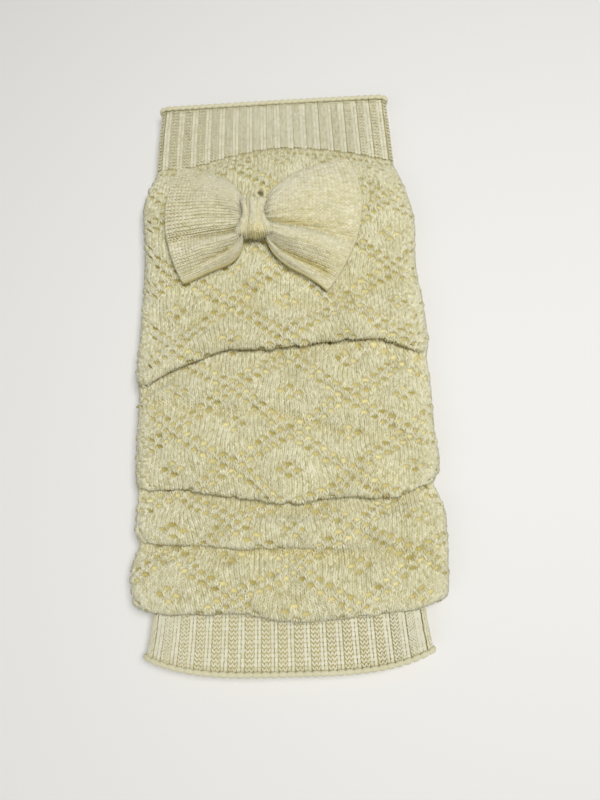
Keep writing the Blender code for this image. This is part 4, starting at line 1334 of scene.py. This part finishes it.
def bowLegs():
    # wales run along the strip, so its rows are the courses
    turned = bowFront[:, ::-1]
    cellShade = bowCreaseShade[:, ::-1]
    middle = bowLook["courses"]
    parts = []
    for wing, shaded in ((turned[:middle + 1], cellShade[:middle + 1]),
                       (turned[middle + 1:][::-1], cellShade[middle + 1:][::-1])):
        keep = np.ones((len(wing) - 1, wing.shape[1] - 1), bool)
        shaded = (shaded[:-1, :-1] + shaded[1:, 1:]) / 2 * 0.85
        legs = stitchLegs(wing, keep, shaded, bowStitch, ringed=False)
        # stitches in the dips are painted darker as well as ochre, as shade
        legs["shade"] = legs["shade"] - 0.45 * legs["paintedShade"]
        flip = legs["out"][:, 2] < 0
        legs["out"][flip] *= -1
        least = bowStitch["leastWale"]
        legs["size"][:, 0] = np.maximum(legs["size"][:, 0], least * bowStitch["width"])
        legs["size"][:, 2] = np.maximum(legs["size"][:, 2], least * bowStitch["height"])
        parts.append(legs)
    return joinLegs(*parts)


bowStitches = knitPiece("bow_stitches", bowLegs(), bowYarn)


rimLine = [bowFront[row, column] * 0.66 + bowBack[row, column] * 0.34 for row, column in bowRim]
lowColumn = 0 if bowFront[:, 0, 1].mean() < bowFront[:, -1, 1].mean() else bowFront.shape[1] - 1
# painted ochre shade along the lower rim, under the bow
rimShade = np.where(np.array(bowRim)[:, 1] == lowColumn, 0.62, 0.06)
rimUneven = 1.0 + random.normal(0.0, 0.06, len(rimLine))
bowRims = ropeAlong(
    "bow_rims", rimLine, bowLook["rimWidth"] * rimUneven, bowLook["rimHeight"] * rimUneven, 8, bowYarn, rimShade, -0.05)

# the gathered band round the pinch, soft at its sides and wider below
bandLook = {
    "halfWidth": 4.8, "room": 0.8, "wall": 0.3, "square": 0.6, "crown": 2.1, "round": 48, "rows": 9,
    "gather": 0.55, "gathers": 7.5, "flare": 0.34, "flareLow": 0.5, "shadow": 0.7,
}


def bowBand():
    middle = bowLook["courses"]
    low = bowBack[middle][:, 2].min() - bandLook["room"]
    high = bowFront[middle][:, 2].max() + bandLook["room"]
    half = bowLook["pinch"][1] + bandLook["room"]
    centre, tall = (low + high) / 2, (high - low) / 2
    angles = np.linspace(0, 2 * math.pi, 2001)
    roundY = np.sign(np.cos(angles)) * np.abs(np.cos(angles)) ** bandLook["square"]
    roundZ = np.sign(np.sin(angles)) * np.abs(np.sin(angles)) ** bandLook["square"]
    along = np.concatenate(([0.0], np.cumsum(np.hypot(np.diff(roundY) * half, np.diff(roundZ) * tall))))
    even = np.linspace(0.0, along[-1], bandLook["round"], endpoint=False)
    roundY, roundZ = np.interp(even, along, roundY), np.interp(even, along, roundZ)
    flare = 1.0 + bandLook["flare"] * roundY**2 + bandLook["flareLow"] * np.clip(-roundY, 0.0, 1.0)
    rings = []
    for share in np.linspace(-1, 1, bandLook["rows"] + 1):
        crown = bandLook["crown"] * (1 - share * share) ** 0.7
        crown = crown + bandLook["gather"] * np.cos(share * bandLook["gathers"] + 0.8 * roundY) * (1 - share**4)
        x = bowLook["x"] + share * bandLook["halfWidth"] * flare
        top = bandLook["wall"] + np.where(roundZ > 0, crown, 0.3)
        y = bowLook["y"] + roundY * (half + bandLook["wall"] + crown * 0.6)
        rings.append(np.column_stack((x, y, centre + roundZ * (tall + top))))
    return np.array(rings)


bandGrid = bowBand()
bandOut = fixOut(bandGrid, ringNormals(bandGrid))
noBandPits = np.zeros((len(bandGrid), bandGrid.shape[1]), bool)
bandLow = np.clip((bowLook["y"] - bandGrid[..., 1]) / bowLook["pinch"][1], 0.0, 2.0)
bandMiddle = np.exp(-((bandGrid[..., 0] - bowLook["x"]) / 3.2) ** 2)
bandShade = bandLook["shadow"] * ease(bandLow - 0.35) * bandMiddle  # painted shade in the middle below
bandCloth = groundShell("bow_band_ground", bandGrid, bandOut, noBandPits, bandShade - 0.3, bowYarn, 0.4, 0.4, 0.0, 0.0)


def bandLegs():
    # wales run round the band
    turned = np.swapaxes(bandGrid, 0, 1)
    turned = np.concatenate((turned, turned[:1]))
    keep = np.ones((len(turned) - 1, turned.shape[1] - 1), bool)
    shaded = np.swapaxes(bandShade, 0, 1)[:, :-1]
    legs = stitchLegs(turned, keep, shaded, bowStitch, ringed=False)
    middle = bandGrid.mean(axis=(0, 1))
    flip = ((legs["at"] - middle) * legs["out"])[:, 1:].sum(axis=1) < 0
    legs["out"][flip] *= -1
    return legs


bandStitches = knitPiece("bow_band_stitches", bandLegs(), bowYarn)


# a small loop of yarn that stands at the top of the band
loopLook = {"x": 2.6, "y": 13.6, "z": 3.6, "wide": 2.1, "tall": 2.6, "thick": 1.7, "tilt": 0.7, "points": 24}
loopAngles = np.linspace(0, 2 * math.pi, loopLook["points"], endpoint=False)
loopBase = np.array((
    bowLook["x"] + loopLook["x"], bowLook["y"] + loopLook["y"],
    clothHeight(bowLook["x"] + loopLook["x"], bowLook["y"] + loopLook["y"]) + loopLook["z"],
))
loopLine = loopBase + np.column_stack((
    loopLook["wide"] * np.cos(loopAngles),
    loopLook["tall"] * np.sin(loopAngles),
    loopLook["tilt"] * np.sin(2 * loopAngles),
))
# the loop is tinted with a little painted ochre shade
bandLoop = ropeAlong("bow_band_loop", loopLine, loopLook["thick"], loopLook["thick"], 8, bowYarn, 0.3, 0.2)
print("bow made")


# the rear cuff, lying plain under the front one
rearLook = {
    "bodyHalf": 60.2, "topSwell": 36.0, "courses": 100, "columns": 140, "ripple": 0.9, "rippleLength": 11.0,
}


def rearBodyGrid():
    low, side, high = levels["rearBody"]
    ribSide = levels["rearRib"][1]
    loopX, loopZ, along = tubeLoop(rearLook["bodyHalf"], side)
    around = np.arange(rearLook["columns"]) / rearLook["columns"]
    x = np.interp(around, along, loopX)
    z = np.interp(around, along, loopZ)
    top = cuffCut["topSeam"][0] - cuffCut["seamGap"] / 2
    bottom = cuffCut["bottomSeam"][0] + cuffCut["seamGap"] / 2
    rows = []
    for y in np.linspace(top, bottom, rearLook["courses"] + 1):
        grown = swell(min(y - bottom, top - y))
        widened = min(ease((top - y) / rearLook["topSwell"]), swell(y - bottom))
        half = mix(ribBands["rear"][0][1], rearLook["bodyHalf"], widened)
        tall = mix(ribSide, side, grown)
        ripple = rearLook["ripple"] * grown * (1 - np.cos(2 * math.pi * (y / rearLook["rippleLength"] + 0.12 * np.sin(x * 4))))/2
        sink = np.where(z > 0.5, ripple * z, 0.0)
        rows.append(np.column_stack((x * half, np.full_like(x, y), tall + tall * z - sink)))
    return np.array(rows)


rearGrid = rearBodyGrid()
rearOut = fixOut(rearGrid, ringNormals(rearGrid))
noRearPits = np.zeros((len(rearGrid), rearGrid.shape[1]), bool)
# the rear ground gets a lighter painted ochre shade than the front's
rearLace = groundShell(
    "rear_lace_ground", rearGrid, rearOut, noRearPits, np.full(rearGrid.shape[:2], -0.4), laceYarn, 0.4, 1.0, 0.0)
rearShare = np.abs(rearGrid[:-1, :, 0]) / np.abs(rearGrid[:-1, :, 0]).max(axis=1, keepdims=True)
rearShown = (rearShare > 0.93) & (rearGrid[:-1, :, 2] > 0.5)
rearStitch = dict(laceStitch, length=1.5)
rearLegs = stitchLegs(rearGrid, rearShown, np.zeros(rearShown.shape), rearStitch)
inward = (rearLegs["at"][:, 0] * rearLegs["out"][:, 0]).sum() < 0
rearLegs["out"] *= -1.0 if inward else 1.0
rearLaceStitches = knitPiece("rear_lace_stitches", rearLegs, laceYarn)


def rearSeamTop(x):
    return np.full_like(x, cuffCut["topSeam"][0] + cuffCut["seamGap"] / 2)


def rearEdgeTop(x):
    return np.full_like(x, cuffCut["end"] - cuffCut["rearInset"])


def rearSeamBottom(x):
    return np.full_like(x, cuffCut["bottomSeam"][0] - cuffCut["seamGap"] / 2)


def rearEdgeBottom(x):
    lift = cuffCut["bottomEdgeLift"] * np.abs(x) ** cuffCut["bottomEdgePower"]
    return -cuffCut["end"] + cuffCut["rearInset"] + lift


rearTopRib, rearTopStitches = ribPieces(
    "rear_top_rib", "rear", "rearRib", rearSeamTop, rearEdgeTop, 32.0, False, ((0.0, 0.08), (0.42, 0.52), (0.98, 1.0)))
rearBottomRib, rearBottomStitches = ribPieces(
    "rear_bottom_rib", "rear", "rearRib", rearSeamBottom, rearEdgeBottom, 22.0, True, ((0.0, 0.08), (0.42, 0.52), (0.98, 1.0)))


# loose fibres that stand off the yarn
fuzzLook = {"body": 5200, "bow": 1500, "band": 420, "length": (1.2, 3.0), "width": 0.075, "rise": 0.35, "seed": 23}


def fuzzLegs(grid, out, count, columns):
    # fibres at random places of a grid's first columns
    rows = len(grid)
    row = random.integers(1, rows - 1, count)
    column = random.integers(0, columns, count)
    at = grid[row, column] + random.normal(0.0, 0.5, (count, 3)) * (1, 1, 0)
    normal = out[row, column]
    angle = random.uniform(0, 2 * math.pi, count)[:, None]
    level = np.column_stack((np.cos(angle), np.sin(angle), np.zeros(count)))
    along = unit(level - normal * (level * normal).sum(axis=1, keepdims=True))
    rise = random.uniform(0.0, fuzzLook["rise"], count)[:, None]
    way = unit(along + normal * rise)
    length = random.uniform(*fuzzLook["length"], count)[:, None]
    size = np.hstack((np.full((count, 1), fuzzLook["width"]), length, np.full((count, 1), fuzzLook["width"])))
    return {
        "at": at + normal * (0.1 + rise * 0.4), "out": unit(np.cross(np.cross(way, normal), way)), "way": way, "size": size,
        "paintedShade": np.zeros(count), "shade": random.uniform(0.2, 0.7, count),
    }


fuzz = dict(knitLook, turn=0.3, seed=fuzzLook["seed"])
bodyFuzz = knitPiece(
    "front_lace_fibres", fuzzLegs(bodyGrid, bodyOut, fuzzLook["body"], frontCount), laceYarn, fuzz, looseFibre)
bandFuzz = knitPiece(
    "bow_band_fibres", fuzzLegs(np.swapaxes(bandGrid, 0, 1), np.swapaxes(bandOut, 0, 1), fuzzLook["band"], len(bandGrid)),
    bowYarn, fuzz, looseFibre)
bowFuzz = knitPiece(
    "bow_fibres", fuzzLegs(bowFront, sheetNormals(bowFront), fuzzLook["bow"], bowFront.shape[1]), bowYarn, fuzz, looseFibre)


# floor, light and camera
studio = {
    "floor": (0.95, 0.95, 0.945),
    "cameraAt": (14.99, -78.69, 255.44),
    "cameraX": (0.99861, -0.03231, -0.04155),
    "cameraUp": (0.04112, 0.97170, 0.23261),
    "cameraBack": (0.03286, -0.23400, 0.97168),
    "lens": 26.0,
    "sensor": 34.6,
}

floorMesh = newMesh("floor", [(-900, -900, 0), (900, -900, 0), (900, 900, 0), (-900, 900, 0)], [(0, 1, 2, 3)])
floorMaterial = bpy.data.materials.new("paleFloor")
floorMaterial.use_nodes = True
floorShader = floorMaterial.node_tree.nodes["Principled BSDF"]
floorShader.inputs["Base Color"].default_value = (*studio["floor"], 1.0)
floorShader.inputs["Roughness"].default_value = 0.7
floorPiece = addPiece("floor", floorMesh, floorMaterial)
floorPiece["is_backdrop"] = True

cameraData = bpy.data.cameras.new("photoCamera")
cameraData.lens = studio["lens"]
cameraData.sensor_width = studio["sensor"]
cameraData.clip_start = 0.01
camera = bpy.data.objects.new("photoCamera", cameraData)
turn = Matrix((studio["cameraX"], studio["cameraUp"], studio["cameraBack"])).transposed()
camera.matrix_world = Matrix.Translation(Vector(studio["cameraAt"]) * mm) @ turn.to_4x4()
scene.collection.objects.link(camera)
scene.camera = camera


def softLight(name, at, aim, size, watts, colour):
    data = bpy.data.lights.new(name, "AREA")
    data.shape = "RECTANGLE"
    data.size, data.size_y = size
    data.energy = watts
    data.color = colour
    light = bpy.data.objects.new(name, data)
    light.location = at
    light.rotation_euler = (Vector(aim) - Vector(at)).to_track_quat("-Z", "Y").to_euler()
    scene.collection.objects.link(light)


softLight("keyLight", (0.20, 0.0, 0.72), (0.0, 0.0, 0.0), (0.28, 0.28), 3.45, (1.0, 0.985, 0.955))
softLight("fillLight", (-0.50, -0.45, 0.7), (0.0, 0.0, 0.0), (0.7, 0.7), 1.1, (1.0, 0.985, 0.955))
world = bpy.data.worlds.new("softRoom")
world.use_nodes = True
world.node_tree.nodes["Background"].inputs["Color"].default_value = (1.0, 0.99, 0.97, 1.0)
world.node_tree.nodes["Background"].inputs["Strength"].default_value = 0.245
scene.world = world
scene.view_settings.view_transform = "Standard"

# ties to the frame
bpy.data.objects.remove(yarnLeg)
bpy.data.objects.remove(looseFibre)
pieceTies = (
    # cloth, what is on it, CAD node, slot, flat size in metres, how it is held, what it rests on
    (rearLace, [rearLaceStitches], "rear_cuff_lace_body", "lace_yarn", (0.25, 0.25), "gathered", ()),
    (rearTopRib, rearTopStitches, "rear_cuff_top_rib", "rib_yarn", (0.215, 0.032), "laid", ()),
    (rearBottomRib, rearBottomStitches, "rear_cuff_bottom_rib", "rib_yarn", (0.215, 0.022), "laid", ()),
    (frontLace, [*laceStitches, bodyFuzz], "front_cuff_lace_body", "lace_yarn", (0.25, 0.25), "gathered", (rearLace,)),
    (topRib, topRibStitches, "front_cuff_top_rib", "rib_yarn", (0.225, 0.031), "laid", (rearTopRib,)),
    (bottomRib, bottomRibStitches, "front_cuff_bottom_rib", "rib_yarn", (0.225, 0.027), "laid", (rearBottomRib,)),
    (bowCloth, [bowStitches, bowRims, bowFuzz], "bow_strip", "bow_yarn", (0.086, 0.056), "gathered", (frontLace,)),
    (bandCloth, [bandStitches, bandLoop, bandFuzz], "bow_band", "bow_yarn", (0.052, 0.011), "folded", (bowCloth,)),
)
for cloth, others, node, slot, flat, held, rests in pieceTies:
    for piece in (cloth, *others):
        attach(piece, "root")
    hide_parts(node)
triangles = sum(len(face.vertices) - 2 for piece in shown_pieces() if piece.type == "MESH" for face in piece.data.polygons)
print(f"{triangles} triangles in all")
